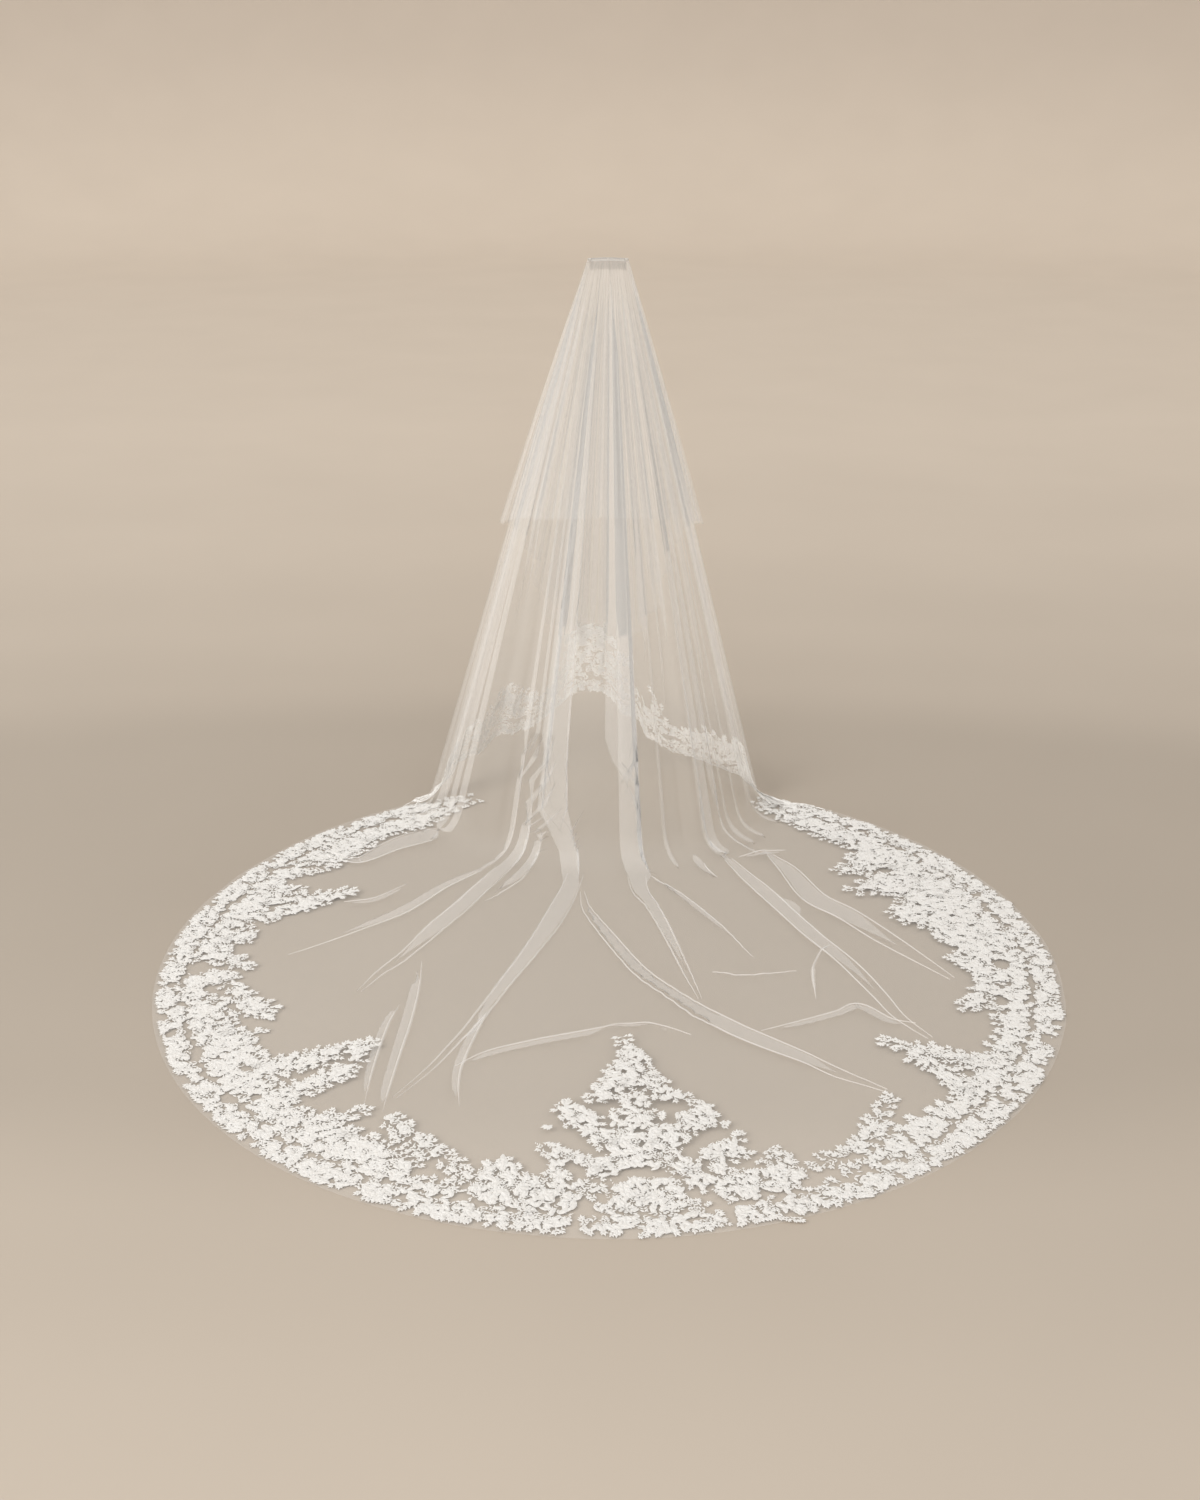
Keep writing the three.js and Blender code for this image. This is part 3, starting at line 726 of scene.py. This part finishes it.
# The large motif at the end of the train, in the same way. Its pieces are longer along the train,
# by 1 / CENTRE_SQUEEZE.
CENTRE = np.array([
    (31, -1337, 52, -1432, 4, 31), (52, -1432, 51, -1487, 33, 41), (29, -1479, -14, -1572, 26, 25),
    (-14, -1572, -39, -1594, 19, 8), (81, -1495, 121, -1579, 26, 18), (129, -1575, 179, -1594, 12, 8),
    (-102, -1624, -47, -1681, 18, 25), (-51, -1681, -6, -1752, 21, 23),
    (-101, -1681, -126, -1692, 6, 2), (203, -1616, 212, -1681, 14, 15),
    (159, -1667, 209, -1653, 17, 17), (179, -1689, 131, -1745, 17, 23), (221, -1667, 237, -1681, 6, 2),
    (54, -1555, 53, -1616, 4, 26), (53, -1616, 47, -1681, 26, 41), (-1, -1656, 105, -1656, 6, 6),
    (10, -1745, 123, -1745, 32, 32), (25, -1792, 113, -1792, 34, 34), (69, -1806, 68, -1849, 24, 6),
    (-146, -1758, -111, -1792, 11, 17), (-111, -1792, -46, -1819, 11, 9),
    (-30, -1839, 5, -1859, 21, 15), (-61, -1904, -11, -1923, 14, 10),
    (-113, -1846, -112, -1885, 22, 23), (-201, -1910, -96, -1948, 39, 31),
    (-198, -1979, -98, -1997, 29, 20), (-53, -2018, 8, -2009, 7, 23), (-30, -1973, 8, -1979, 8, 14),
    (28, -1910, 125, -1910, 23, 23), (23, -1973, 138, -1973, 32, 32), (53, -2036, 120, -2027, 15, 14),
    (159, -2003, 208, -2003, 23, 13), (180, -1967, 210, -1973, 11, 6), (159, -1839, 181, -1885, 22, 21),
    (180, -1898, 208, -1891, 14, 10), (229, -1799, 251, -1772, 29, 21), (257, -1772, 271, -1724, 11, 2),
    (258, -1779, 285, -1789, 10, 2), (222, -1846, 241, -1910, 22, 23), (189, -1799, 221, -1806, 9, 9),
    (281, -1904, 382, -1904, 37, 43), (268, -1963, 375, -1973, 32, 32), (313, -1807, 333, -1846, 2, 17),
    (336, -1770, 367, -1813, 2, 22), (-251, -1846, -204, -1839, 20, 8),
    (-222, -1803, -220, -1839, 3, 10), (-264, -1898, -225, -1898, 23, 23),
    (-282, -1973, -221, -1973, 23, 29),
]) / 1000
CENTRE_SQUEEZE = 0.58
HEM_CLEAR = 0.020

# Clear windows of net inside the lace, in plan: centre and half sizes in millimetres, and the
# turn in degrees.
WINDOWS = np.array([
    (-690, -1490, 30, 18, 35), (-392, -1840, 19, 28, 0), (-842, -1578, 13, 12, 0),
    (522, -1811, 20, 30, 0), (419, -1891, 22, 24, 0), (796, -1477, 27, 18, -35),
    (663, -1869, 10, 14, 0), (-1032, -999, 20, 36, 0), (-981, -1098, 20, 18, 0),
    (-951, -1398, 14, 32, 0), (-1079, -1083, 12, 15, 0), (-1029, -1305, 14, 20, 0),
    (-914, -1190, 19, 22, 0), (-825, -1457, 14, 12, 0), (990, -978, 21, 28, 0), (972, -1078, 25, 13, 0),
    (948, -1159, 22, 26, 0), (1063, -1266, 15, 22, 0), (776, -446, 20, 17, 0), (1020, -1333, 14, 24, 0),
    (-859, -417, 70, 12, 5), (-844, -564, 25, 9, 0), (-780, -1578, 13, 14, 0), (860, -1578, 13, 14, 0),
    (-300, -1930, 20, 12, 0), (330, -1930, 20, 12, 0),
]) / (1000, 1000, 1000, 1000, 1)

# Roses that show in the photo, in plan, with their radius, in millimetres.
ROSES = np.array([
    (10, -1745, 22), (-20, -1835, 24), (163, -1842, 24), (62, -1930, 26), (30, -1970, 22),
    (315, -1930, 26), (-157, -1905, 26), (90, -1750, 20), (-330, -1860, 24), (120, -1980, 22),
    (30, -1540, 14), (-170, -1980, 22), (-430, -1780, 26), (470, -1750, 26), (-560, -1710, 28),
    (600, -1700, 26), (-660, -1600, 24), (-800, -1440, 22), (790, -1540, 24), (820, -1420, 22),
    (-900, -1300, 24), (930, -1280, 24), (-980, -1100, 24), (990, -1080, 24), (-990, -840, 22),
    (980, -820, 22), (-930, -640, 22), (900, -600, 22), (-830, -460, 20), (800, -420, 20),
    (-700, -240, 20), (670, -240, 20),
]) / 1000


def train_polar(x, y):
    """Direction round the train's own centre, and how far in from the hem."""
    dx, dy = np.asarray(x), np.asarray(y) - TRAIN_CENTRE_Y
    return np.degrees(np.arctan2(dx, -dy)), TRAIN_RADIUS - np.hypot(dx, dy)


def in_arms(x, y, grow, arms, squeeze=1.0):
    """Whether places are inside any of the arms, each made larger by grow."""
    x, y = np.asarray(x)[..., None], np.asarray(y)[..., None] * squeeze
    ax, ay, bx, by, wide, thin = arms.T
    ay, by = ay * squeeze, by * squeeze
    dx, dy = bx - ax, by - ay
    t = np.clip(((x - ax) * dx + (y - ay) * dy) / (dx * dx + dy * dy), 0, 1)
    off = np.hypot(x - ax - t * dx, y - ay - t * dy)
    return (off < wide + (thin - wide) * t + grow).any(-1)


def in_centre(x, y, grow):
    return in_arms(x, y, grow, CENTRE, CENTRE_SQUEEZE)


def in_train_lace(x, y, grow=0.0):
    theta, depth = train_polar(x, y)
    reach = np.interp(theta, TRAIN_LACE[:, 0], TRAIN_LACE[:, 1], left=0, right=0)
    hem = HEM_CLEAR + 0.010 * np.sin(np.radians(theta) * 47) + 0.006 * np.sin(np.radians(theta) * 23)
    inside = (depth < reach + grow) | in_arms(x, y, grow, ARMS) | in_centre(x, y, grow - 0.001)
    inside &= depth > hem - grow
    for wx, wy, rx, ry, turn in WINDOWS:
        cos, sin = math.cos(math.radians(turn)), math.sin(math.radians(turn))
        ux, uy = x - wx, y - wy
        ax, ay = (ux * cos + uy * sin) / rx, (-ux * sin + uy * cos) / ry
        inside &= ax**2 + ay**2 > (1 - grow * 20) ** 2
    return inside


def fill_train(lace, low, high):
    """Sprays on a jittered grid inside the lace between two directions, and larger leaves under
    many of them, which close the ground of the lace."""
    rng = lace.rng
    step = 0.0138
    for gx in np.arange(-1.2, 1.2, step):
        for gy in np.arange(-2.1, 0.05, step):
            x = gx + rng.uniform(-0.4, 0.4) * step
            y = gy + rng.uniform(-0.4, 0.4) * step
            kind = rng.uniform()
            turn = rng.normal(0, 0.85)
            theta, depth = train_polar(x, y)
            if not low <= theta < high or not in_train_lace(x, y, -0.002):
                continue
            inwards = math.atan2(TRAIN_CENTRE_Y - y, -x)
            heading = inwards + math.pi + turn * 1.2 if depth < 0.075 else inwards + turn
            fine = 0.82 if in_centre(x, y, 0.0) else 1.0
            length = rng.uniform(0.024, 0.044) * fine
            if kind < 0.60:
                lace.leaf(x, y, heading, 0.026, 0.012, -0.0003)
            if kind < 0.12:
                lace.leaf(x, y, heading + 0.9, 0.022, 0.009, 0.0005)
            bend = rng.normal(0, 0.8)
            leaf = fine * rng.uniform(0.0104, 0.0142)
            lace.spray(x, y, heading, length, bend, leaf, rng.uniform(0, 0.0006))


def edge_starts(rng):
    """Places and outward headings along the inner edge of the lace and along its hem."""
    theta = np.radians(np.linspace(-158, 155, 2400))
    reach = np.interp(np.degrees(theta), TRAIN_LACE[:, 0], TRAIN_LACE[:, 1])
    starts = []
    for depth, out, step in ((reach, 1, 0.017), (np.full_like(theta, 0.030), -1, 0.013)):
        r = TRAIN_RADIUS - depth
        px, py = r * np.sin(theta), TRAIN_CENTRE_Y - r * np.cos(theta)
        length = np.concatenate([[0], np.cumsum(np.hypot(np.diff(px), np.diff(py)))])
        for d in np.arange(0, length[-1], step):
            d += rng.uniform(-0.005, 0.005)
            x, y = np.interp(d, length, px), np.interp(d, length, py)
            if out > 0 and train_polar(x, y)[1] < 0.05 or not in_train_lace(x, y, 0.004):
                continue
            x2, y2 = np.interp(d + 0.004, length, px), np.interp(d + 0.004, length, py)
            starts.append((x, y, math.atan2(y2 - y, x2 - x) + out * math.pi / 2, out))
    return starts


def arm_starts():
    """Places and outward headings along the arms of lace and the motif at the train's end."""
    starts = []
    for ax, ay, bx, by, wide, thin in np.vstack([ARMS, CENTRE]):
        along_arm = math.atan2(by - ay, bx - ax)
        count = int(math.hypot(bx - ax, by - ay) / 0.015)
        for k in range(count + 1):
            t = k / max(1, count)
            w = (wide + (thin - wide) * t) * 0.8
            for side in (-1, 1):
                x = ax + (bx - ax) * t - side * math.sin(along_arm) * w
                y = ay + (by - ay) * t + side * math.cos(along_arm) * w
                starts.append((x, y, along_arm + side * (1.35 - 0.85 * t), 1))
        starts.append((bx, by, along_arm, 1))
    return starts


def outline_sprigs(lace, low, high):
    """Small sprigs that stand out of the lace along its inner edge, its arms and its hem."""
    rng = lace.rng
    for x, y, heading, out in edge_starts(rng) + arm_starts():
        turn = rng.normal(0, 0.40)
        size = rng.uniform(0.018, 0.032)
        leaf = rng.uniform(0.0090, 0.0118)
        if not low <= train_polar(x, y)[0] < high:
            continue
        dx, dy = math.cos(heading), math.sin(heading)
        if out > 0 and in_train_lace(x + dx * 0.03, y + dy * 0.03, 0):
            continue
        if out < 0:
            size *= 0.75
        elif in_centre(x, y, 0.01):
            size, leaf = size * 0.75, leaf * 0.9
        lace.sprig(x - dx * 0.004, y - dy * 0.004, heading + turn, size, leaf)


def lace_on_train(name, seed, low, high):
    """The train's lace between two directions round the train's own centre."""
    lace = Lace(seed)
    fill_train(lace, low, high)
    lace.trim(in_train_lace, 0.002)
    outline_sprigs(lace, low, high)
    for x, y, radius in ROSES:
        theta, _depth = train_polar(x, y)
        if low <= theta < high and in_train_lace(x, y):
            lace.rose(x, y, radius * 0.8, 0.0012)
    x, y, z, tris = lace.arrays()
    z = LIE + floor_lift(x, y) + 0.0006 + z
    return mesh_object(name, np.stack([x, y, z], -1), tris, smooth_shade=False)


train_lace = [
    lace_on_train("lace_train_left", 21, -160, -48),
    lace_on_train("lace_train_centre", 22, -48, 48),
    lace_on_train("lace_train_right", 23, 48, 160),
]

# Direction round the veil, and height of the lace on the hanging front hem in millimetres.
FRONT_LACE = np.array([
    (88, 50), (91, 80), (94, 150), (97, 190), (101, 190), (106, 160), (112, 130), (118, 130),
    (125, 150), (131, 130), (137, 110), (141, 100), (146, 90), (150, 100), (153, 170), (155, 190),
    (157, 120), (160, 100), (163, 100), (166, 80), (168, 80), (169, 120), (171, 190), (173, 220),
    (175, 230), (180, 230), (186, 225), (191, 240), (194, 240), (196, 180), (198, 130), (202, 100),
    (206, 100), (212, 130), (217, 155), (223, 160), (228, 180), (230, 160), (233, 120), (239, 110),
    (246, 120), (254, 150), (261, 180), (264, 160), (267, 80), (275, 50),
]) / (1, 1000)
# Its roses: direction, and height over the hem and radius in millimetres.
FRONT_ROSES = np.array([
    (168, 205, 26), (188, 215, 28), (178, 120, 24), (140, 100, 24), (218, 110, 26), (204, 50, 20),
    (158, 60, 20), (232, 50, 20), (126, 50, 20), (258, 90, 22), (100, 90, 22),
]) / (1, 1000, 1000)
FRONT_RADIUS = 0.40  # turns a direction into a length along the hem


def front_place(q, h, lift):
    """Lays a flat pattern, q along the hem and h up from it, on the hanging sheet."""
    angle = q / FRONT_RADIUS
    cone = Cone(angle)
    along = cone.length - h
    point, lying = pleated(angle, along, LONG_PLEATS, STREAM_PATHS)
    point = laid_down(point, lying)
    up = np.array([0.0, 0.0, 1.0])
    normal = unit(cone.outward(along) * (1 - lying)[:, None] + up * lying[:, None])
    return point + normal * (lift + 0.0016)[:, None]


def front_reach(q):
    return np.interp(np.degrees(q / FRONT_RADIUS), FRONT_LACE[:, 0], FRONT_LACE[:, 1])


def in_front_lace(q, h, grow):
    hem = 0.006 + 0.008 * np.sin(q * 60) + 0.004 * np.sin(q * 137)
    return (h < front_reach(q) + grow) & (h > hem - grow)


def front_lace():
    """The lace of the hanging front hem, in the same way as the train's."""
    lace = Lace(31)
    rng = lace.rng
    step = 0.0142
    low, high = math.radians(90) * FRONT_RADIUS, math.radians(268) * FRONT_RADIUS
    for gq in np.arange(low, high, step):
        for gh in np.arange(0.0, 0.28, step):
            q = gq + rng.uniform(-0.4, 0.4) * step
            h = gh + rng.uniform(-0.4, 0.4) * step
            turn = rng.normal(0, 0.9)
            kind = rng.uniform()
            if not in_front_lace(q, h, -0.002):
                continue
            heading = math.pi / 2 + turn if h > 0.05 else -math.pi / 2 + turn * 1.2
            if kind < 0.12:
                lace.leaf(q, h, heading, 0.026, 0.011, 0.001)
            lace.spray(q, h, heading, rng.uniform(0.02, 0.04), rng.normal(0, 0.8),
                       rng.uniform(0.0086, 0.0120), rng.uniform(0, 0.0007))
    lace.trim(in_front_lace, 0.006)
    for degrees, h, radius in FRONT_ROSES:
        lace.rose(math.radians(degrees) * FRONT_RADIUS, h, radius, 0.0014)
    for q in np.arange(low, high, 0.012):
        edges = ((front_reach(q) - 0.005, 1, 0.6, 0.016, 0.034), (0.020, -1, 0.4, 0.010, 0.018))
        for h, side, turn, least, most in edges:
            lace.sprig(q, h, side * math.pi / 2 + rng.normal(0, turn), rng.uniform(least, most))
    q, h, z, tris = lace.arrays()
    return mesh_object("lace_front", front_place(q, h, z), tris, smooth_shade=False)


hanging_lace = front_lace()

# The header's net, from its closed edge over the rail, down both sides of it and out over the
# teeth: how far it stands out, and its height.
HEADER_PROFILE = np.array([
    (0.0003, 0.0015), (0.0012, 0.0012), (0.0018, 0.0003), (0.0019, -0.0010), (0.0022, -0.0023),
    (0.0030, -0.0036), (0.0041, -0.0049), (0.0052, -0.0062),
])


def header():
    """The gathered header over the comb: net drawn tight in small ripples."""
    columns, rows = 300, len(HEADER_PROFILE)
    a = FULL_TURN * np.arange(columns)[:, None] / columns
    t = np.arange(rows) / (rows - 1)
    reach, drop = HEADER_PROFILE.T
    ripple = 0.0009 * np.sin(a * 62 + 2 * np.sin(a * 5)) * t
    x = (0.0548 + 0.0012 * t + ripple * 0.4) * np.sin(a)
    points = np.stack([x, -(reach + ripple) * np.cos(a), drop + arch_at(x)], -1)
    return mesh_object("gather_header", points.reshape(-1, 3), grid_faces(columns, rows))


def stitch_turns():
    """Turns of thread round the header, with thicker tufts at both ends and in the middle."""
    rng = np.random.default_rng(3)
    turns = [(px, 0.0024, 0.00016) for px in np.linspace(-0.046, 0.046, 24)]
    turns += [(side * (0.0470 + 0.0013 * k), 0.0031, 0.00050) for side in (-1, 1) for k in range(6)]
    turns += [(0.0005, 0.0026, 0.00024), (-0.0006, 0.0026, 0.00024)]
    segments, sides = 12, 5
    a = FULL_TURN * np.arange(segments)[:, None] / segments
    b = FULL_TURN * np.arange(sides) / sides
    points = []
    for px, radius, thick in turns:
        x = px + rng.uniform(-0.0006, 0.0006) * np.cos(a) + thick * np.sin(b)
        y = (radius + thick * np.cos(b)) * np.cos(a)
        z = arch_at(px) - 0.0012 + (radius - 0.0002 + thick * np.cos(b)) * np.sin(a)
        points.append(np.stack([x, y, z], -1).reshape(-1, 3))
    ring = grid_faces(segments, sides, tube=True)[:, [0, 3, 2, 1]]  # turned to face outwards
    starts = np.arange(len(turns)) * segments * sides
    faces = (ring[None] + starts[:, None, None]).reshape(-1, 4)
    return mesh_object("stitch_turns", np.concatenate(points), faces, sharp_from=180)


gather = header()
stitches = stitch_turns()


# Materials.
def connect(tree, node, inputs):
    """Sets a node's inputs, each to a value or to an output of another node."""
    for key, value in inputs.items():
        if isinstance(value, bpy.types.NodeSocket):
            tree.links.new(value, node.inputs[key])
        else:
            node.inputs[key].default_value = value


def add_node(tree, kind, inputs, **settings):
    node = tree.nodes.new("ShaderNode" + kind)
    for key, value in settings.items():
        setattr(node, key, value)
    connect(tree, node, inputs)
    return node


def new_material(name):
    """A material, its node tree, its shader, and the object's own coordinates in it."""
    material = bpy.data.materials.new(name)
    material.use_nodes = True
    tree = material.node_tree
    return material, tree, tree.nodes["Principled BSDF"], add_node(tree, "TexCoord", {}).outputs["Object"]


def colour_ramp(tree, factor, stops, interpolation="LINEAR"):
    """A ramp between stops of position and colour."""
    ramp = add_node(tree, "ValToRGB", {"Fac": factor})
    ramp.color_ramp.interpolation = interpolation
    elements = ramp.color_ramp.elements
    elements[0].position, elements[1].position = stops[0][0], stops[-1][0]
    for position, _colour in stops[1:-1]:
        elements.new(position)
    for element, (_position, colour) in zip(elements, stops):
        element.color = (*colour, 1)
    return ramp.outputs["Color"]


def bump(tree, height, strength, distance):
    inputs = {"Height": height, "Strength": strength, "Distance": distance}
    return add_node(tree, "Bump", inputs).outputs["Normal"]


def tulle_material(name, alpha, colour):
    """Sheer net: an even transparency, the sheen of its threads and a fine cellular bump."""
    material, tree, shader, place = new_material(name)
    cells = add_node(tree, "TexVoronoi", {"Vector": place, "Scale": 620}, feature="DISTANCE_TO_EDGE")
    connect(tree, shader, {
        "Base Color": (*colour, 1), "Alpha": alpha, "Roughness": 0.75, "Specular IOR Level": 0.25,
        "Sheen Weight": 0.5, "Sheen Roughness": 0.45,
        "Normal": bump(tree, cells.outputs["Distance"], 0.25, 0.0004),
    })
    return material


def lace_material(name, dark, light):
    """Corded thread: fine wavy cords as bump, and a slow change of tone."""
    material, tree, shader, place = new_material(name)
    cords = add_node(tree, "TexWave", {"Vector": place, "Scale": 420, "Distortion": 6})
    noise = add_node(tree, "TexNoise", {"Vector": place, "Scale": 90})
    connect(tree, shader, {
        "Base Color": colour_ramp(tree, noise.outputs["Fac"], [(0.3, dark), (0.62, light)]),
        "Roughness": 0.62, "Specular IOR Level": 0.3, "Sheen Weight": 0.3,
        "Normal": bump(tree, cords.outputs["Fac"], 0.5, 0.0005),
    })
    return material


def thread_material():
    material, tree, shader, place = new_material("gathered_thread")
    twist = add_node(tree, "TexWave", {"Vector": place, "Scale": 700, "Distortion": 2})
    connect(tree, shader, {
        "Base Color": (0.84, 0.82, 0.78, 1), "Roughness": 0.7,
        "Normal": bump(tree, twist.outputs["Fac"], 0.5, 0.0003),
    })
    return material


def wire_material():
    """Bare wire whose tone and gloss change along it. Its dark base colour is a painted reflection of
    dark surroundings.
    """
    material, tree, shader, place = new_material("comb_wire")
    noise = add_node(tree, "TexNoise", {"Vector": place, "Scale": 300})
    rough = add_node(tree, "MapRange", {"Value": noise.outputs["Fac"], "To Min": 0.22, "To Max": 0.42})
    # painted reflection: the metal's colour is kept dark for the dark surroundings that the wire mirrors
    tones = [(0.0, (0.115, 0.118, 0.125)), (1.0, (0.215, 0.22, 0.23))]
    connect(tree, shader, {
        "Metallic": 1.0, "Roughness": rough.outputs["Result"],
        "Base Color": colour_ramp(tree, noise.outputs["Fac"], tones),
    })
    return material


def finish(piece, material):
    piece.data.materials.clear()
    piece.data.materials.append(material)


NET_TONE = (0.82, 0.81, 0.79)
finish(long_tier, tulle_material("tulle_net", 0.17, NET_TONE))
finish(short_tier, tulle_material("tulle_net_short", 0.17, NET_TONE))
# The creases' net is partly real and partly painted light: the rolled edge holds more layers, and its
# colour is a painted highlight, lighter than the net it is made of.
finish(creases, tulle_material("tulle_crease_painted_lighter", 0.42, (0.90, 0.885, 0.865)))
finish(gather, tulle_material("gathered_net", 0.42, (0.88, 0.87, 0.85)))
finish(stitches, thread_material())
lace_cord = lace_material("lace_cord", (0.83, 0.815, 0.79), (0.885, 0.88, 0.865))
for piece in train_lace:
    finish(piece, lace_cord)
# The hanging lace is painted a little lighter than the same lace on the train: painted light, because it
# is seen through two layers of net.
finish(hanging_lace, lace_material("lace_cord_front_painted_lighter", (0.93, 0.915, 0.89), (0.985, 0.98, 0.965)))
finish(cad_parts["comb"], wire_material())

# Light passes through net almost freely, so the net throws no hard shadow on its own layers.
for piece in (long_tier, short_tier, gather, creases):
    piece.visible_shadow = False

lace_pieces = [*train_lace, hanging_lace]
for piece in [long_tier, short_tier, gather, stitches, creases, *lace_pieces]:
    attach(piece, "root")
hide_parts("long_tier")
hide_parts("short_tier")
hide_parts("gather_band")
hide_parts("lace_border")


# The floor is a flat round card that bends up far away into a plain round wall.
def floor_mesh():
    flat, bend, wall_top, turns = 14.0, 5.0, 9.0, 96
    profile = [(4.0, 0.0), (8.0, 0.0), (flat, 0.0)]
    for k in range(1, 13):
        a = 0.5 * math.pi * k / 12
        profile.append((flat + bend * math.sin(a), bend - bend * math.cos(a)))
    profile.append((flat + bend, wall_top))
    points = [(0.0, 0.0, FLOOR)]
    for radius, height in profile:
        for k in range(turns):
            a = 2 * math.pi * k / turns
            points.append((radius * math.cos(a), radius * math.sin(a), FLOOR + height))
    faces = [(0, 1 + k, 1 + (k + 1) % turns) for k in range(turns)]
    for ring in range(len(profile) - 1):
        for k in range(turns):
            a, b = 1 + ring * turns + k, 1 + ring * turns + (k + 1) % turns
            faces.append((a, a + turns, b + turns, b))
    mesh = bpy.data.meshes.new("floor")
    mesh.from_pydata(points, [], faces)
    for poly in mesh.polygons:
        poly.use_smooth = True
    return add_object("floor", mesh)


# The floor is painted darker over a wide oval round the veil and lighter away from it: painted shade,
# a painted shadow of the net on the floor. Its tone against the distance from the oval's middle, in units
# of the scale below.
NET_SHADOW_TONES = [(0.0, 0.79), (0.8, 0.82), (1.2, 0.94), (1.7, 1.01), (2.8, 1.12), (4.5, 1.21), (7.0, 1.22)]
NET_SHADOW_SHIFT, NET_SHADOW_SCALE = (0.06, 0.33, 0), (0.28, 0.74, 0)
NET_SHADOW_SPAN = 8.0
CARD_TONES = [(0.0, (0.525, 0.462, 0.392)), (1.0, (0.555, 0.490, 0.417))]
WALL_RISE, WALL_TONE = 2.6, (0.86, 0.86, 0.87, 1)


def floor_material():
    material, tree, shader, place = new_material("floor_card")

    def multiplied(factor, a, b):
        inputs = {"Factor": factor, "A": a, "B": b}
        return add_node(tree, "Mix", inputs, data_type="RGBA", blend_type="MULTIPLY").outputs["Result"]

    noise = add_node(tree, "TexNoise", {"Vector": place, "Scale": 1.3})
    card = colour_ramp(tree, noise.outputs["Fac"], CARD_TONES)
    # painted shadow of the net: the card's tone is darkened towards the middle of an oval round the veil
    band = add_node(tree, "Mapping", {"Vector": place, "Location": NET_SHADOW_SHIFT, "Scale": NET_SHADOW_SCALE})
    away = add_node(tree, "VectorMath", {0: band.outputs["Vector"]}, operation="LENGTH")
    share = add_node(tree, "Math", {0: away.outputs["Value"], 1: NET_SHADOW_SPAN}, operation="DIVIDE")
    tones = [(at / NET_SHADOW_SPAN, (tone, tone, tone)) for at, tone in NET_SHADOW_TONES]
    net_shadowed = multiplied(1.0, card, colour_ramp(tree, share.outputs["Value"], tones, "EASE"))
    height = add_node(tree, "SeparateXYZ", {"Vector": place}).outputs["Z"]
    span = {"Value": height, "From Min": FLOOR, "From Max": FLOOR + WALL_RISE}
    rise = add_node(tree, "MapRange", span, interpolation_type="SMOOTHSTEP")
    connect(tree, shader, {
        "Base Color": multiplied(rise.outputs["Result"], net_shadowed, WALL_TONE),
        "Roughness": 0.95, "Specular IOR Level": 0.1,
    })
    return material


floor = floor_mesh()
finish(floor, floor_material())


# The light and the camera.
def light(name, kind, direction, energy, colour):
    data = bpy.data.lights.new(name, kind)
    data.energy = energy
    data.color = colour
    obj = add_object(name, data)
    obj.rotation_euler = Vector(direction).to_track_quat("-Z", "Y").to_euler()
    return obj


def studio_light():
    world = bpy.data.worlds.new("studio")
    world.use_nodes = True
    background = world.node_tree.nodes["Background"]
    background.inputs["Color"].default_value = (1.0, 0.965, 0.925, 1)
    background.inputs["Strength"].default_value = 0.60
    bpy.context.scene.world = world
    key = light("key", "SUN", (0.30, 0.62, -0.75), 0.92, (1.0, 0.98, 0.955))
    key.data.angle = math.radians(50)
    fill = light("fill", "SUN", (-0.60, 0.55, -0.62), 0.66, (1.0, 0.985, 0.965))
    fill.data.angle = math.radians(70)
    panel = light("panel", "AREA", (6.5, 5.7, -4.6), 420, (1.0, 0.98, 0.95))
    panel.data.shape = "SQUARE"
    panel.data.size = 5.0
    panel.location = (-6.5, -6.5, 3.4)


def add_camera():
    data = bpy.data.cameras.new("camera")
    data.lens = 42
    data.sensor_width = 36
    data.clip_end = 200
    camera = add_object("camera", data)
    camera.location = (-0.0215, -4.86, 0.55)
    camera.rotation_euler = (math.radians(90 - 22.16), 0, 0)
    bpy.context.scene.camera = camera


studio_light()
add_camera()
bpy.context.scene.view_settings.view_transform = "Standard"

bpy.context.view_layer.update()
